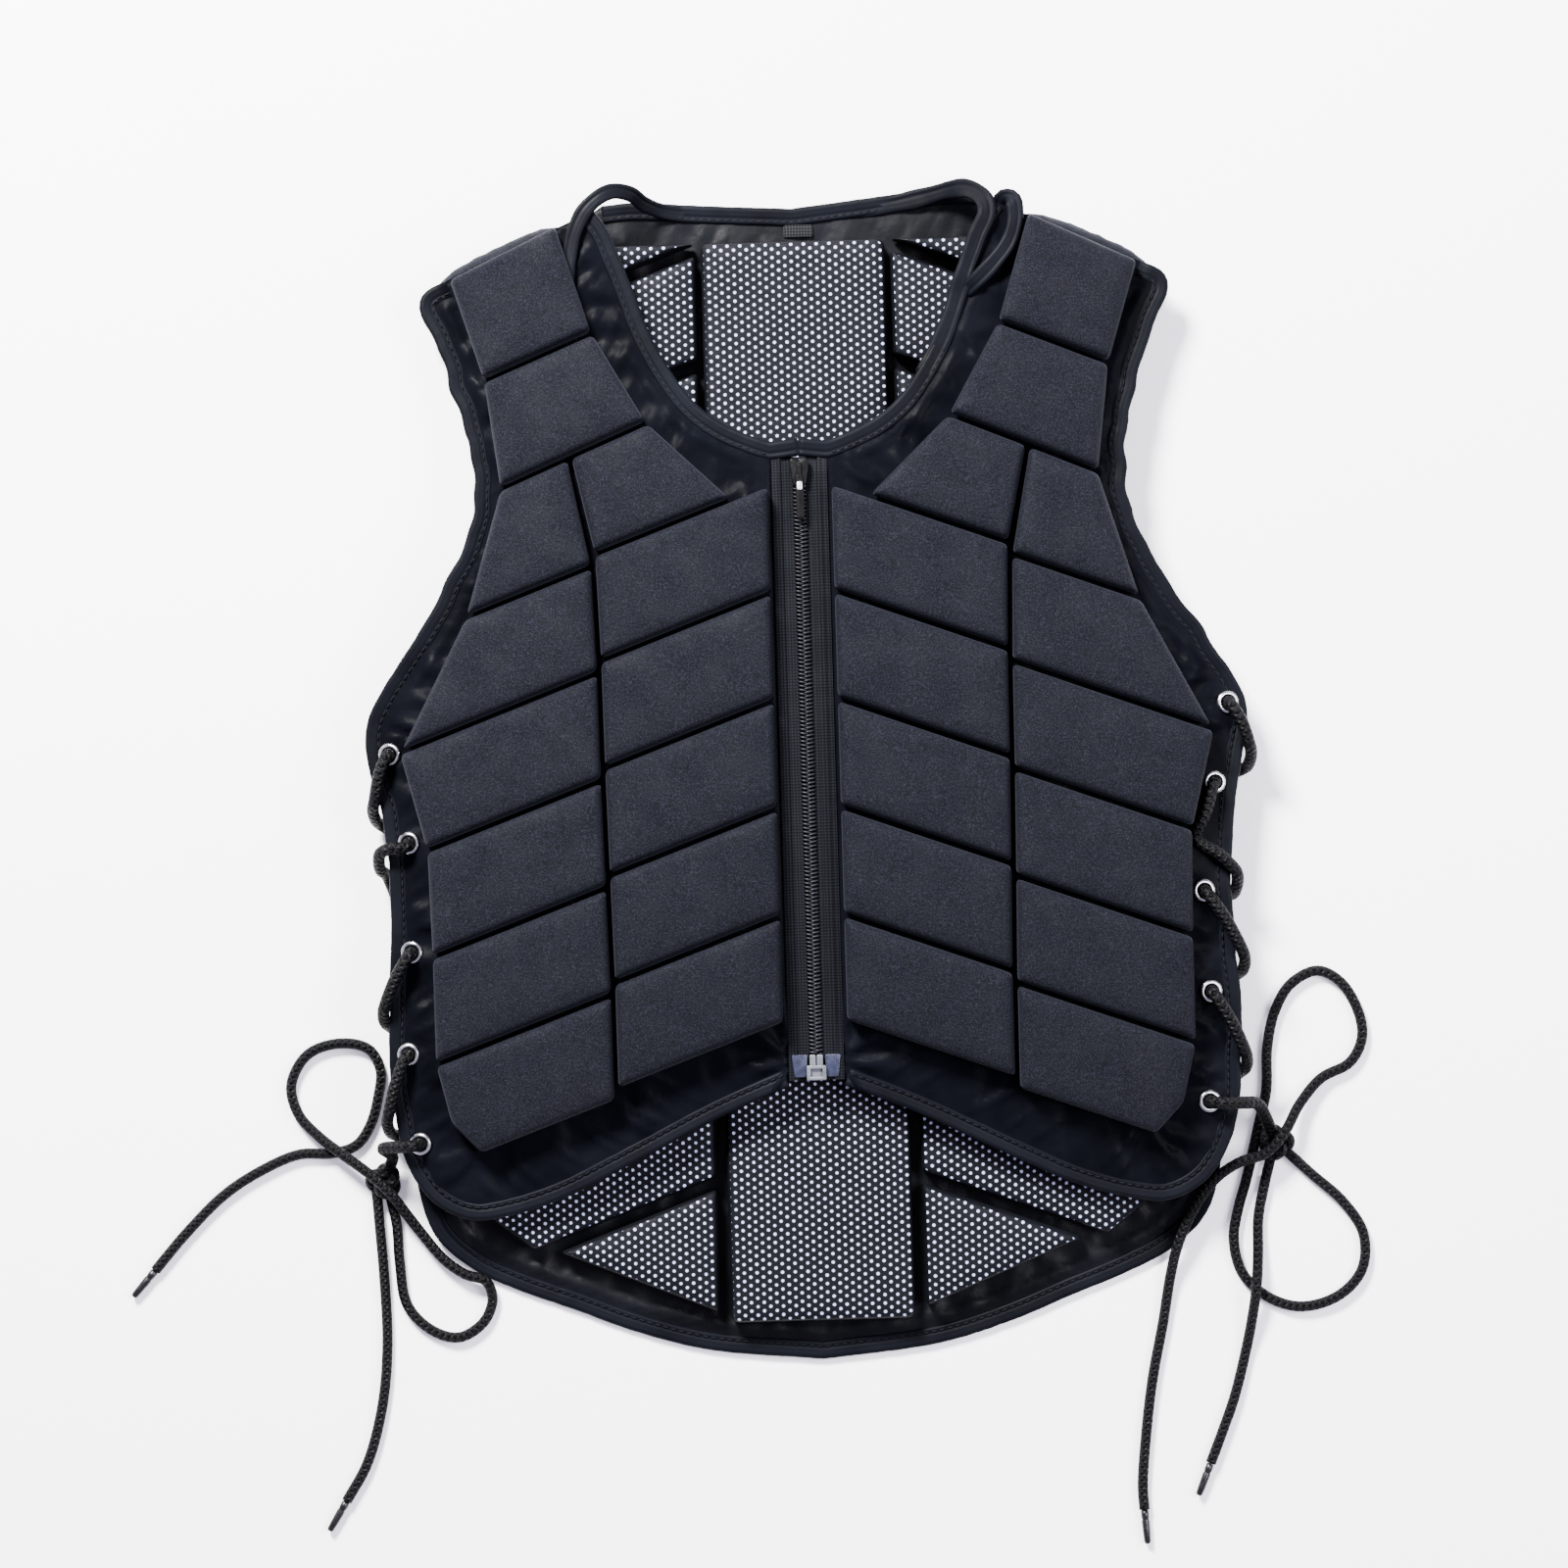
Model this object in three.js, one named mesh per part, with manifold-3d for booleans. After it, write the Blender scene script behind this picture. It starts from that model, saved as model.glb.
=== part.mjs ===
// Equestrian body protector lying on its back: foam pads on a cloth vest, with a front zip and laced sides.
// Millimetres. +X is the right of the picture, +Y the collar, +Z up. It lies on z = 0.
import * as THREE from "three";
import { mergeVertices } from "three/addons/utils/BufferGeometryUtils.js";
import Module from "manifold-3d";

const wasm = await Module();
wasm.setup();

// Whole vest
const BACK_LENGTH = 550; // collar to the tip of the back hem
const HALF_WIDTH = 207; // from the middle to the widest point of a side flap
const CAVITY = 21.5; // free height between the back pads and the front cloth at the middle of the chest
const CLOTH = 2.4; // outer cloth and lining together
const BINDING_WIDTH = 6;
const BINDING_STEP = 1.2; // how much thicker than the cloth a bound edge is
const SEAT = 0.4; // clearance between pieces that rest on each other

// Foam pads
const PAD_THICKNESS = 14;
const PAD_BEVEL = 2.2;
const PAD_CORNER = 5.5; // at the foot; the bevelled face has corners this much less the bevel
const PAD_GAP = 3.4; // groove between two pads
const SEAM_SLOPE = 0.367; // fall of the slanted seams from the zip to the side
const SEAM_PITCH = 50.2; // from one front seam to the next
const SEAM_TOP = 142.5; // height where the first seam of the body rows would meet the middle
const COLUMN_STEP = 5; // the outer column's seams lie this much lower
const BACK_PAD_THICKNESS = 13.6;
const BACK_SEAM_PITCH = 55;
const BACK_SEAM_LOWEST = -172;
const BACK_GROOVE = 5; // height of the cloth band between two rows
const BACK_FOAM_SKIN = 1.6; // foam left under a groove
const SPINE_HALF_WIDTH = 43.5;
const SPINE_TO_COLLAR = 16; // from the middle of the collar's edge down to the pad
const SPINE_TO_HEM = 19; // from the tip of the hem up to the pad
const SPINE_CORNER = 8;
const SPINE_GAP = 2.5; // to the pads beside it

// Zip
const ZIP_HALF_WIDTH = 12.6;
const COIL_HALF_WIDTH = 3.5;
const COIL_RISE = 1.2; // the coil stands this much above the tapes
const ZIP_TOP = 155;
const ZIP_BOTTOM = -141;
const SLIDER = { width: 9, length: 13, height: 4.5, y: 143 };
const PULL = { width: 4, length: 22, thickness: 1.6 };
const ZIP_BOX = { width: 9.2, length: 12, height: 3.2 };

// Side lacing
const CORD_RADIUS = 2.5;
const CORD_STEP = 13.4; // length of one straight facet of a free cord
const LACE_CLEARANCE = 0.6; // free room round the cord in an eyelet
const EYELET_RIM = 2.4;
const EYELET_HEIGHT = 1.6;
const BACK_HOLE_AT = 0.8744; // the back's lace holes, as a share of HALF_WIDTH
const BACK_HOLE_RADIUS = 4;
const LACE_BEND = 5;
const AGLET_RADIUS = 1.9;
const AGLET_LENGTH = 16;
const KNOT = { length: 11, width: 11, height: 7.2 };

const NECK_TAB = { width: 14, length: 6, thickness: 1.2, x: 3, belowCollar: 10.5 };

// Free height of the front panel as a share of CAVITY: across at a share of HALF_WIDTH, and along the seams
// at a share of BACK_LENGTH. Both are straight between rows, so each foam pad lies flat and the vest bends at
// its seams.
const FRONT_ACROSS = [
  { at: 0.0, drop: 0.0 },
  { at: 0.46, drop: 0.14 },
  { at: 0.86, drop: 0.46 },
  { at: 1.04, drop: 0.82 },
];
const FRONT_ALONG = [
  { at: -0.3, drop: 0.46 },
  { at: -0.2, drop: 0.24 },
  { at: -0.105, drop: 0.08 },
  { at: -0.015, drop: 0.0 },
  { at: 0.077, drop: 0.0 },
  { at: 0.168, drop: 0.05 },
  { at: 0.259, drop: 0.14 },
  { at: 0.358, drop: 0.26 },
  { at: 0.452, drop: 0.37 },
  { at: 0.62, drop: 0.47 },
];
// The back lies flat and its sides curl up, as a height share of BACK_PAD_THICKNESS.
const BACK_ACROSS = [
  { at: 0.0, rise: 0.0 },
  { at: 0.8, rise: 0.0 },
  { at: 0.88, rise: 0.48 },
  { at: 0.94, rise: 0.56 },
  { at: 1.04, rise: 0.6 },
];

// Outlines of the right half, as shares of HALF_WIDTH and BACK_LENGTH. A null x is the zip's edge.
const FRONT_HEM_TO_SHOULDER = [
  { x: null, y: -0.261 },
  { x: 0.213, y: -0.284 },
  { x: 0.444, y: -0.327 },
  { x: 0.58, y: -0.351 },
  { x: 0.705, y: -0.365 },
  { x: 0.792, y: -0.368 },
  { x: 0.874, y: -0.353 },
  { x: 0.928, y: -0.324 },
  { x: 0.957, y: -0.285 },
  { x: 0.966, y: -0.2 },
  { x: 0.952, y: -0.109 },
  { x: 0.966, y: -0.027 },
  { x: 0.988, y: 0.009 },
  { x: 1.0, y: 0.04 },
  { x: 0.99, y: 0.064 },
  { x: 0.932, y: 0.1 },
  { x: 0.86, y: 0.14 },
  { x: 0.792, y: 0.184 },
  { x: 0.749, y: 0.222 },
  { x: 0.734, y: 0.258 },
  { x: 0.744, y: 0.291 },
  { x: 0.773, y: 0.333 },
  { x: 0.807, y: 0.375 },
  { x: 0.845, y: 0.404 },
  { x: 0.86, y: 0.422 },
];
const SHOULDER_NECK_END = { x: 0.517, y: 0.478 };
// The wall along the shoulder seam: shares of the seam's length, and depth from the edge in mm
const SHOULDER_WALL = { from: 0.14, to: 0.92, near: 1, far: 3.6 };
const FRONT_NECK = [
  { x: 0.449, y: 0.489 },
  { x: 0.42, y: 0.473 },
  { x: 0.4, y: 0.455 },
  { x: 0.367, y: 0.422 },
  { x: 0.333, y: 0.385 },
  { x: 0.29, y: 0.353 },
  { x: 0.232, y: 0.322 },
  { x: 0.169, y: 0.303 },
  { x: 0.087, y: 0.289 },
  { x: null, y: 0.286 },
];
const BACK_HEM_TO_SHOULDER = [
  { x: 0.0, y: -0.5 },
  { x: 0.266, y: -0.489 },
  { x: 0.435, y: -0.471 },
  { x: 0.57, y: -0.451 },
  { x: 0.696, y: -0.433 },
  { x: 0.802, y: -0.413 },
  { x: 0.879, y: -0.384 },
  { x: 0.913, y: -0.345 },
  { x: 0.928, y: -0.273 },
  { x: 0.928, y: -0.109 },
  { x: 0.937, y: 0.0 },
  { x: 0.947, y: 0.055 },
  { x: 0.908, y: 0.1 },
  { x: 0.836, y: 0.142 },
  { x: 0.773, y: 0.184 },
  { x: 0.729, y: 0.222 },
  { x: 0.715, y: 0.258 },
  { x: 0.725, y: 0.291 },
  { x: 0.758, y: 0.333 },
  { x: 0.792, y: 0.375 },
  { x: 0.826, y: 0.404 },
  { x: 0.845, y: 0.422 },
];
const BACK_COLLAR = [
  { x: 0.435, y: 0.498 },
  { x: 0.362, y: 0.5 },
  { x: 0.217, y: 0.496 },
  { x: 0.0, y: 0.491 },
];
// Outer edge of the pads beside the spine, from the foot of the spine round to its head
const BACK_PAD_EDGE = [
  { x: null, y: -0.456 },
  { x: 0.609, y: -0.399 },
  { x: 0.657, y: -0.398 },
  { x: 0.749, y: -0.371 },
  { x: 0.816, y: -0.33 },
  { x: 0.836, y: -0.273 },
  { x: 0.84, y: -0.109 },
  { x: 0.85, y: 0.0 },
  { x: 0.845, y: 0.045 },
  { x: 0.79, y: 0.109 },
  { x: 0.715, y: 0.16 },
  { x: 0.667, y: 0.204 },
  { x: 0.65, y: 0.255 },
  { x: 0.667, y: 0.3 },
  { x: 0.71, y: 0.355 },
  { x: 0.755, y: 0.405 },
  { x: 0.5, y: 0.462 },
  { x: null, y: 0.462 },
];

// The shoulder seams: height at the middle as a share of BACK_LENGTH, fall, and the pads' reach along each
const SHOULDER_SEAMS = [
  { height: 0.569, fall: 0.459, inner: 0.531, outer: 0.783 },
  { height: 0.452, fall: 0.4, inner: 0.454, outer: 0.71 },
  { height: 0.358, fall: 0.413, inner: 0.336, split: 0.517, outer: 0.679 },
];
// The body rows A to F, from their top seam down: reach of the outer pads along that seam
const BODY_SEAMS = [
  { row: "a", split: 0.469, outer: 0.766 },
  { row: "b", split: 0.462, outer: 0.923 },
  { row: "c", split: 0.46, outer: 0.867 },
  { row: "d", split: 0.456, outer: 0.862 },
  { row: "e", split: 0.452, outer: 0.862 },
  { row: "f", split: 0.452, outer: 0.763 },
];
const PAD_INNER_EDGE = 13.8; // the pads' reach toward the zip
const ROW_A_INNER = 0.15; // where row A's lower edge meets the neck, as a share of HALF_WIDTH
const LOWEST_CORNER = { x: 0.83, y: -0.285 }; // the cut corner of the lowest outer pad

// Eyelets from the top down, as shares of HALF_WIDTH and BACK_LENGTH. The lace rounds the flap's edge at
// over, and comes by bow where it bows inward first.
const LACING = {
  right: [
    { x: 0.957, y: 0.055, over: 0.012 },
    { x: 0.921, y: -0.013, over: -0.096, bow: { x: 0.874, y: -0.06 } },
    { x: 0.889, y: -0.105, over: -0.165 },
    { x: 0.899, y: -0.191, over: -0.25 },
    { x: 0.889, y: -0.285 },
  ],
  left: [
    { x: 0.947, y: 0.031, over: -0.015 },
    { x: 0.908, y: -0.045, over: -0.06 },
    { x: 0.908, y: -0.138, over: -0.19 },
    { x: 0.923, y: -0.225, over: -0.282 },
    { x: 0.903, y: -0.302 },
  ],
};

// Chosen routes of the free cords: x, y, and the lift above lying on the surface. Knots are at x, y.
const KNOT_AT = { right: [216.5, -178.5], left: [-206, -184.5] };
const BOW_RIGHT_LONG = [
  [223.8, -185.2, 0], [233, -194, 0], [248, -208, 0], [257, -223, 0], [256, -240, 0], [245, -252, 0],
  [227, -257, 0], [211, -252, 0], [199, -240, 0], [195.5, -224, 0], [198, -210, 0], [202, -197, 0],
  [205.5, -184, 0], [209, -170, 0], [213, -154, 0], [214, -134, 0], [218, -117, 0], [226, -104, 0],
  [239, -98, 0], [250, -104, 0], [258, -119, 0], [259, -131, 0], [253, -142, 0], [239, -149, 1],
  [228, -161, 4], [220.5, -173, 9], [211, -183, 10], [198, -187, 10.5], [186, -195, 11], [176, -209, 9],
  [169, -224, 6.5], [165, -240, 1.5], [161, -262, 0], [155, -290, 0], [151, -318, 0], [149, -340, 0],
  [149.5, -351, 0],
];
const BOW_RIGHT_SHORT = [
  [214, -186.6, 0], [210.5, -200, 0], [207.5, -214, 0], [206.5, -232, 3], [205, -246.5, 6.6], [203, -261, 3],
  [200, -276, 0], [194, -298, 0], [188, -314, 0], [181.5, -330, 0],
];
const BOW_LEFT_LONG = [
  [-203.9, -190.4, 0], [-200.9, -206, 0], [-200, -224, 0], [-197, -244, 0], [-186, -256, 0], [-173, -260, 0],
  [-161, -253, 0], [-156.5, -242, 0.5], [-159.5, -233, 3.6], [-168.5, -230, 3.6], [-179, -222.5, 2.5],
  [-189, -210, 2.5], [-196, -200, 5], [-202.5, -190.5, 8.5],
  [-212, -181, 8.5], [-224, -172, 6.5], [-236, -163, 2.5], [-246, -152, 0], [-249, -138, 0], [-241, -124, 0],
  [-226, -119, 0], [-212, -122, 0], [-206.5, -132, 0], [-208, -145, 0], [-212, -158, 0], [-219, -167.5, 0],
  [-231, -171, 0], [-246, -171, 0], [-264, -178, 0], [-282, -189, 0], [-300, -206, 0], [-316, -224, 0],
];
const BOW_LEFT_SHORT = [
  [-210, -190.4, 0], [-209, -206, 0], [-207.5, -232, 0], [-207, -262, 0], [-210, -290, 0], [-218, -318, 0],
  [-228.5, -336, 0],
];

const share = (p) => [p.x * HALF_WIDTH, p.y * BACK_LENGTH];
const clothEdge = ZIP_HALF_WIDTH + SEAT;
const backHoleX = BACK_HOLE_AT * HALF_WIDTH;
const backTop = CLOTH + SEAT + BACK_PAD_THICKNESS;

// Straight interpolation in a table sorted by its at column.
function follow(table, at, column) {
  let i = 1;
  while (i < table.length - 1 && at > table[i].at) i++;
  const [a, b] = [table[i - 1], table[i]];
  return a[column] + ((b[column] - a[column]) * (at - a.at)) / (b.at - a.at);
}

// Underside of the front cloth. v is the height where the seam line through the point meets the middle.
function frontHeight(x, y) {
  const v = y + SEAM_SLOPE * Math.abs(x);
  const across = follow(FRONT_ACROSS, Math.abs(x) / HALF_WIDTH, "drop");
  const along = follow(FRONT_ALONG, v / BACK_LENGTH, "drop");
  return backTop + SEAT + CAVITY * (1 - across - along);
}

function backHeight(x) {
  return BACK_PAD_THICKNESS * follow(BACK_ACROSS, Math.abs(x) / HALF_WIDTH, "rise");
}

// The flat plane that the front follows round one point, extended beyond it.
function frontPlane(cx, cy) {
  const step = 0.5;
  const gx = frontHeight(cx + step, cy) - frontHeight(cx - step, cy);
  const gy = frontHeight(cx, cy + step) - frontHeight(cx, cy - step);
  return (x, y) => frontHeight(cx, cy) + gx * (x - cx) + gy * (y - cy);
}

// Geometry to solid and back, for cuts and joins.
function solidOf(geometry) {
  const bare = new THREE.BufferGeometry().setAttribute("position", geometry.getAttribute("position"));
  bare.setIndex(geometry.index);
  const merged = mergeVertices(bare, 1e-3);
  return new wasm.Manifold(
    new wasm.Mesh({
      numProp: 3,
      vertProperties: merged.attributes.position.array,
      triVerts: new Uint32Array(merged.index.array),
    }),
  );
}

function geometryOf(solid) {
  const mesh = solid.getMesh();
  return new THREE.BufferGeometry()
    .setAttribute("position", new THREE.BufferAttribute(new Float32Array(mesh.vertProperties), 3))
    .setIndex(new THREE.BufferAttribute(new Uint32Array(mesh.triVerts), 1));
}

// Moves each vertex up by a height that depends on where it is.
function liftBy(geometry, height) {
  const p = geometry.attributes.position;
  for (let i = 0; i < p.count; i++) p.setZ(i, p.getZ(i) + height(p.getX(i), p.getY(i)));
  return geometry;
}

// A sheet between two heights over a grid: columns at the given x, rows along the slanted seams.
function sheet(columns, rows, low, high) {
  const g = new THREE.BoxGeometry(1, 1, 1, columns.length - 1, rows.length - 1, 1);
  const p = g.attributes.position;
  for (let i = 0; i < p.count; i++) {
    const x = columns[Math.round((p.getX(i) + 0.5) * (columns.length - 1))];
    const y = rows[Math.round((p.getY(i) + 0.5) * (rows.length - 1))] - SEAM_SLOPE * Math.abs(x);
    p.setXYZ(i, x, y, p.getZ(i) > 0 ? high(x, y) : low(x, y));
  }
  return solidOf(g);
}

const frontColumns = FRONT_ACROSS.map((row) => Math.max(row.at * HALF_WIDTH, COIL_HALF_WIDTH));
const frontRows = FRONT_ALONG.map((row) => row.at * BACK_LENGTH);
const frontSheet = (low, high) => sheet(frontColumns, frontRows, low, high);
const halfBackColumns = BACK_ACROSS.map((row) => row.at * HALF_WIDTH);
const backColumns = [...halfBackColumns.slice(1).map((x) => -x).reverse(), ...halfBackColumns];
const backRows = [-0.6 * BACK_LENGTH, 0.9 * BACK_LENGTH];
const backSheet = (low, high) => sheet(backColumns, backRows, low, high);

// Outlines
function smooth(points, stepsPerPoint) {
  const through = points.map(([x, y]) => new THREE.Vector3(x, y, 0));
  const curve = new THREE.CatmullRomCurve3(through, false, "centripetal");
  return curve.getPoints((points.length - 1) * stepsPerPoint).map((p) => [p.x, p.y]);
}

function shapeOf(points) {
  return new THREE.Shape(points.map(([x, y]) => new THREE.Vector2(x, y)));
}

// A tall prism over an outline, to cut a sheet with.
function prism(points, low = -10, high = 120) {
  const g = new THREE.ExtrudeGeometry(shapeOf(points), { depth: high - low, bevelEnabled: false });
  return solidOf(g.translate(0, 0, low));
}

// Where the lines through a-b and b-c meet once each is moved inward, on a counterclockwise outline.
function insetCorner(a, b, c, moveIn, moveOut) {
  const unit = ([px, py], [qx, qy]) => {
    const length = Math.hypot(qx - px, qy - py);
    return [(qx - px) / length, (qy - py) / length];
  };
  const [d, e] = [unit(a, b), unit(b, c)];
  const cross = d[0] * e[1] - d[1] * e[0];
  const along = Math.abs(cross) < 0.02 ? 0 : (moveOut - moveIn * (d[0] * e[0] + d[1] * e[1])) / cross;
  return [b[0] - d[1] * moveIn - d[0] * along, b[1] + d[0] * moveIn - d[1] * along];
}

// Moves each edge i (from point i to the next) inward by distance(i).
function inset(points, distance) {
  const n = points.length;
  return points.map((p, i) => {
    const before = (i + n - 1) % n;
    return insetCorner(points[before], p, points[(i + 1) % n], distance(before), distance(i));
  });
}

function edgePoints(table, nullX) {
  return table.map((p) => [p.x === null ? nullX : p.x * HALF_WIDTH, p.y * BACK_LENGTH]);
}

// Each outline gives its points and says which edges carry a binding.
function frontOutline() {
  const side = smooth(edgePoints(FRONT_HEM_TO_SHOULDER, clothEdge), 2);
  const neck = smooth(edgePoints(FRONT_NECK, clothEdge), 2);
  const points = [...side, share(SHOULDER_NECK_END), ...neck];
  const firstNeck = side.length + 1;
  const bound = points.map((_, i) => i < side.length - 1 || (i >= firstNeck && i < points.length - 1));
  return { points, bound };
}

function backOutline() {
  const side = smooth(edgePoints(BACK_HEM_TO_SHOULDER, 0), 2);
  const collar = smooth(edgePoints(BACK_COLLAR, 0), 2);
  const half = [...side, share(SHOULDER_NECK_END), ...collar];
  const firstCollar = side.length + 1;
  const isBound = (i) => i < side.length - 1 || i >= firstCollar;
  const bound = half.slice(1).map((_, i) => isBound(i));
  const mirrored = half.slice(1, -1).map(([x, y]) => [-x, y]).reverse();
  return { points: [...half, ...mirrored], bound: [...bound, ...bound.slice().reverse()] };
}

// A panel of cloth: a sheet as thick as its bound edge, with the cloth inside the binding made thinner.
function boundPanel(outline, thickSheet, spareSheet) {
  const inner = inset(outline.points, (i) => (outline.bound[i] ? BINDING_WIDTH : -2));
  return thickSheet.intersect(prism(outline.points)).subtract(spareSheet.intersect(prism(inner, -20, 130)));
}

// Cloth of the panels
function holePrism(x, y, radius) {
  const g = new THREE.CylinderGeometry(radius, radius, 140, 12).rotateX(Math.PI / 2);
  return solidOf(g.translate(x, y, 40));
}

function frontShell(lacing) {
  const top = (x, y) => frontHeight(x, y) + CLOTH;
  const below = (depth) => (x, y) => frontHeight(x, y) - depth;
  const spare = frontSheet(below(9), frontHeight);
  const panel = boundPanel(frontOutline(), frontSheet(below(BINDING_STEP), top), spare);
  const radius = CORD_RADIUS + LACE_CLEARANCE + 0.3;
  return lacing.reduce((shell, eyelet) => shell.subtract(holePrism(...share(eyelet), radius)), panel);
}

// The shoulder seam's allowance stands up from the back to carry the front panel's shoulder.
function shoulderWall(side) {
  const outer = share(BACK_HEM_TO_SHOULDER.at(-1));
  const inner = share(SHOULDER_NECK_END);
  const { from, to, near, far } = SHOULDER_WALL;
  const at = (t, depth) => [
    side * (outer[0] + (inner[0] - outer[0]) * t - depth * 0.4),
    outer[1] + (inner[1] - outer[1]) * t - depth * 0.9,
  ];
  const strip = [at(from, far), at(from, near), at(to, near), at(to, far)];
  if (side < 0) strip.reverse();
  const columns = side > 0 ? frontColumns : frontColumns.map((x) => -x).reverse();
  const low = (x) => backHeight(x) + CLOTH / 2;
  const high = (x, y) => frontHeight(x, y) - SEAT;
  return sheet(columns, frontRows, low, high).intersect(prism(strip));
}

function backShell() {
  const above = (height) => (x) => backHeight(x) + height;
  const thick = backSheet(backHeight, above(CLOTH + BINDING_STEP));
  const panel = boundPanel(backOutline(), thick, backSheet(above(CLOTH), above(CLOTH + 9)));
  let shell = panel.add(shoulderWall(1)).add(shoulderWall(-1));
  for (const [side, lacing] of [[1, LACING.right], [-1, LACING.left]])
    for (const eyelet of lacing.slice(1))
      shell = shell.subtract(holePrism(side * backHoleX, eyelet.y * BACK_LENGTH, BACK_HOLE_RADIUS));
  return shell;
}

// Pads. A sharp corner is rounded over a longer reach, so that the bevel still fits inside it.
function roundedShape(points, radius) {
  const shape = new THREE.Shape();
  points.forEach((p, i) => {
    const before = points[(i + points.length - 1) % points.length];
    const after = points[(i + 1) % points.length];
    const angle = Math.abs(
      Math.atan2(before[1] - p[1], before[0] - p[0]) - Math.atan2(after[1] - p[1], after[0] - p[0]),
    );
    const reach = radius * Math.max(1, 1 / Math.tan(Math.min(angle, 2 * Math.PI - angle) / 2));
    const toward = (q) => {
      const length = Math.hypot(q[0] - p[0], q[1] - p[1]);
      return [p[0] + ((q[0] - p[0]) * reach) / length, p[1] + ((q[1] - p[1]) * reach) / length];
    };
    const [start, end] = [toward(before), toward(after)];
    if (i === 0) shape.moveTo(...start);
    else shape.lineTo(...start);
    shape.quadraticCurveTo(...p, ...end);
  });
  shape.closePath();
  return shape;
}

function padGeometry(points, thickness, corner) {
  const g = new THREE.ExtrudeGeometry(roundedShape(points, corner), {
    depth: thickness - 2 * PAD_BEVEL,
    bevelThickness: PAD_BEVEL,
    bevelSize: PAD_BEVEL,
    bevelOffset: -PAD_BEVEL,
    bevelSegments: 1,
    curveSegments: 2,
  });
  return g.translate(0, 0, PAD_BEVEL);
}

// One front pad: its cell of the seam grid, less half a groove all round, laid flat on the cloth.
function frontPad(cell) {
  const centre = [0, 1].map((axis) => cell.reduce((sum, p) => sum + p[axis], 0) / cell.length);
  const plane = frontPlane(...centre);
  const g = padGeometry(inset(cell, () => PAD_GAP / 2), PAD_THICKNESS, PAD_CORNER);
  return liftBy(g, (x, y) => plane(x, y) + CLOTH + SEAT);
}

// Seam lines of the front, each a function from x to y, with its reach: [above the seam, below it].
function seamLine(height, fall) {
  return (x) => height - fall * x;
}

function frontCells() {
  const cells = {};
  const [top, middle, low] = SHOULDER_SEAMS.map((s) => ({
    line: seamLine(s.height * BACK_LENGTH, s.fall),
    inner: s.inner * HALF_WIDTH,
    split: s.split * HALF_WIDTH,
    outer: s.outer * HALF_WIDTH,
  }));
  const cell = (upper, lower, from, to) => [
    [lower[from], lower.line(lower[from])],
    [lower[to], lower.line(lower[to])],
    [upper[to], upper.line(upper[to])],
    [upper[from], upper.line(upper[from])],
  ];
  cells.shoulder_1 = cell(top, middle, "inner", "outer");
  cells.shoulder_2 = cell(middle, low, "inner", "outer");
  let above = { inner: low, outer: low };
  BODY_SEAMS.forEach((s, i) => {
    const height = SEAM_TOP - SEAM_PITCH * i;
    const reach = { split: s.split * HALF_WIDTH, outer: s.outer * HALF_WIDTH };
    const inner = { ...reach, line: seamLine(height, SEAM_SLOPE), inner: PAD_INNER_EDGE };
    const outer = { ...reach, line: seamLine(height - COLUMN_STEP, SEAM_SLOPE) };
    const lowerInner = i === 0 ? { ...inner, inner: ROW_A_INNER * HALF_WIDTH } : inner;
    cells["inner_" + s.row] = cell(above.inner, lowerInner, "inner", "split");
    cells["outer_" + s.row] = cell(above.outer, outer, "split", "outer");
    above = { inner, outer };
  });
  cells.outer_f.splice(2, 0, share(LOWEST_CORNER));
  return cells;
}

function backPadRegion() {
  return edgePoints(BACK_PAD_EDGE, SPINE_HALF_WIDTH + SPINE_GAP);
}

// The rows of foam beside the spine: one sheet of foam with a slanted groove between rows.
function backSidePads() {
  const low = CLOTH + SEAT;
  let foam = prism(backPadRegion(), low, low + BACK_PAD_THICKNESS);
  const [near, far] = [0, HALF_WIDTH];
  for (let v = BACK_SEAM_LOWEST; v < BACK_LENGTH / 2; v += BACK_SEAM_PITCH) {
    const groove = [
      [near, v - BACK_GROOVE / 2],
      [far, v - SEAM_SLOPE * far - BACK_GROOVE / 2],
      [far, v - SEAM_SLOPE * far + BACK_GROOVE / 2],
      [near, v + BACK_GROOVE / 2],
    ];
    foam = foam.subtract(prism(groove, low + BACK_FOAM_SKIN, 60));
  }
  const clear = sheet(halfBackColumns, backRows, (x) => backHeight(x) + low, () => 60);
  return foam.intersect(clear);
}

function spinePad() {
  const half = SPINE_HALF_WIDTH;
  const bottom = share(BACK_HEM_TO_SHOULDER[0])[1] + SPINE_TO_HEM;
  const top = share(BACK_COLLAR.at(-1))[1] - SPINE_TO_COLLAR;
  const points = [
    [-half, bottom],
    [half, bottom],
    [half, top],
    [-half, top],
  ];
  return padGeometry(points, BACK_PAD_THICKNESS, SPINE_CORNER).translate(0, 0, CLOTH + SEAT);
}

// Zip: strips that follow the front at the middle.
function zipStrip(from, to, bottom, top, low, high) {
  const breaks = frontRows.filter((y) => y > bottom + 1 && y < top - 1);
  const ys = [bottom, ...breaks, top];
  const g = new THREE.BoxGeometry(1, 1, 1, 1, ys.length - 1, 1);
  const p = g.attributes.position;
  for (let i = 0; i < p.count; i++) {
    const y = ys[Math.round((p.getY(i) + 0.5) * (ys.length - 1))];
    const z = frontHeight(0, y) + (p.getZ(i) > 0 ? high : low);
    p.setXYZ(i, p.getX(i) > 0 ? to : from, y, z);
  }
  return g;
}

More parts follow.
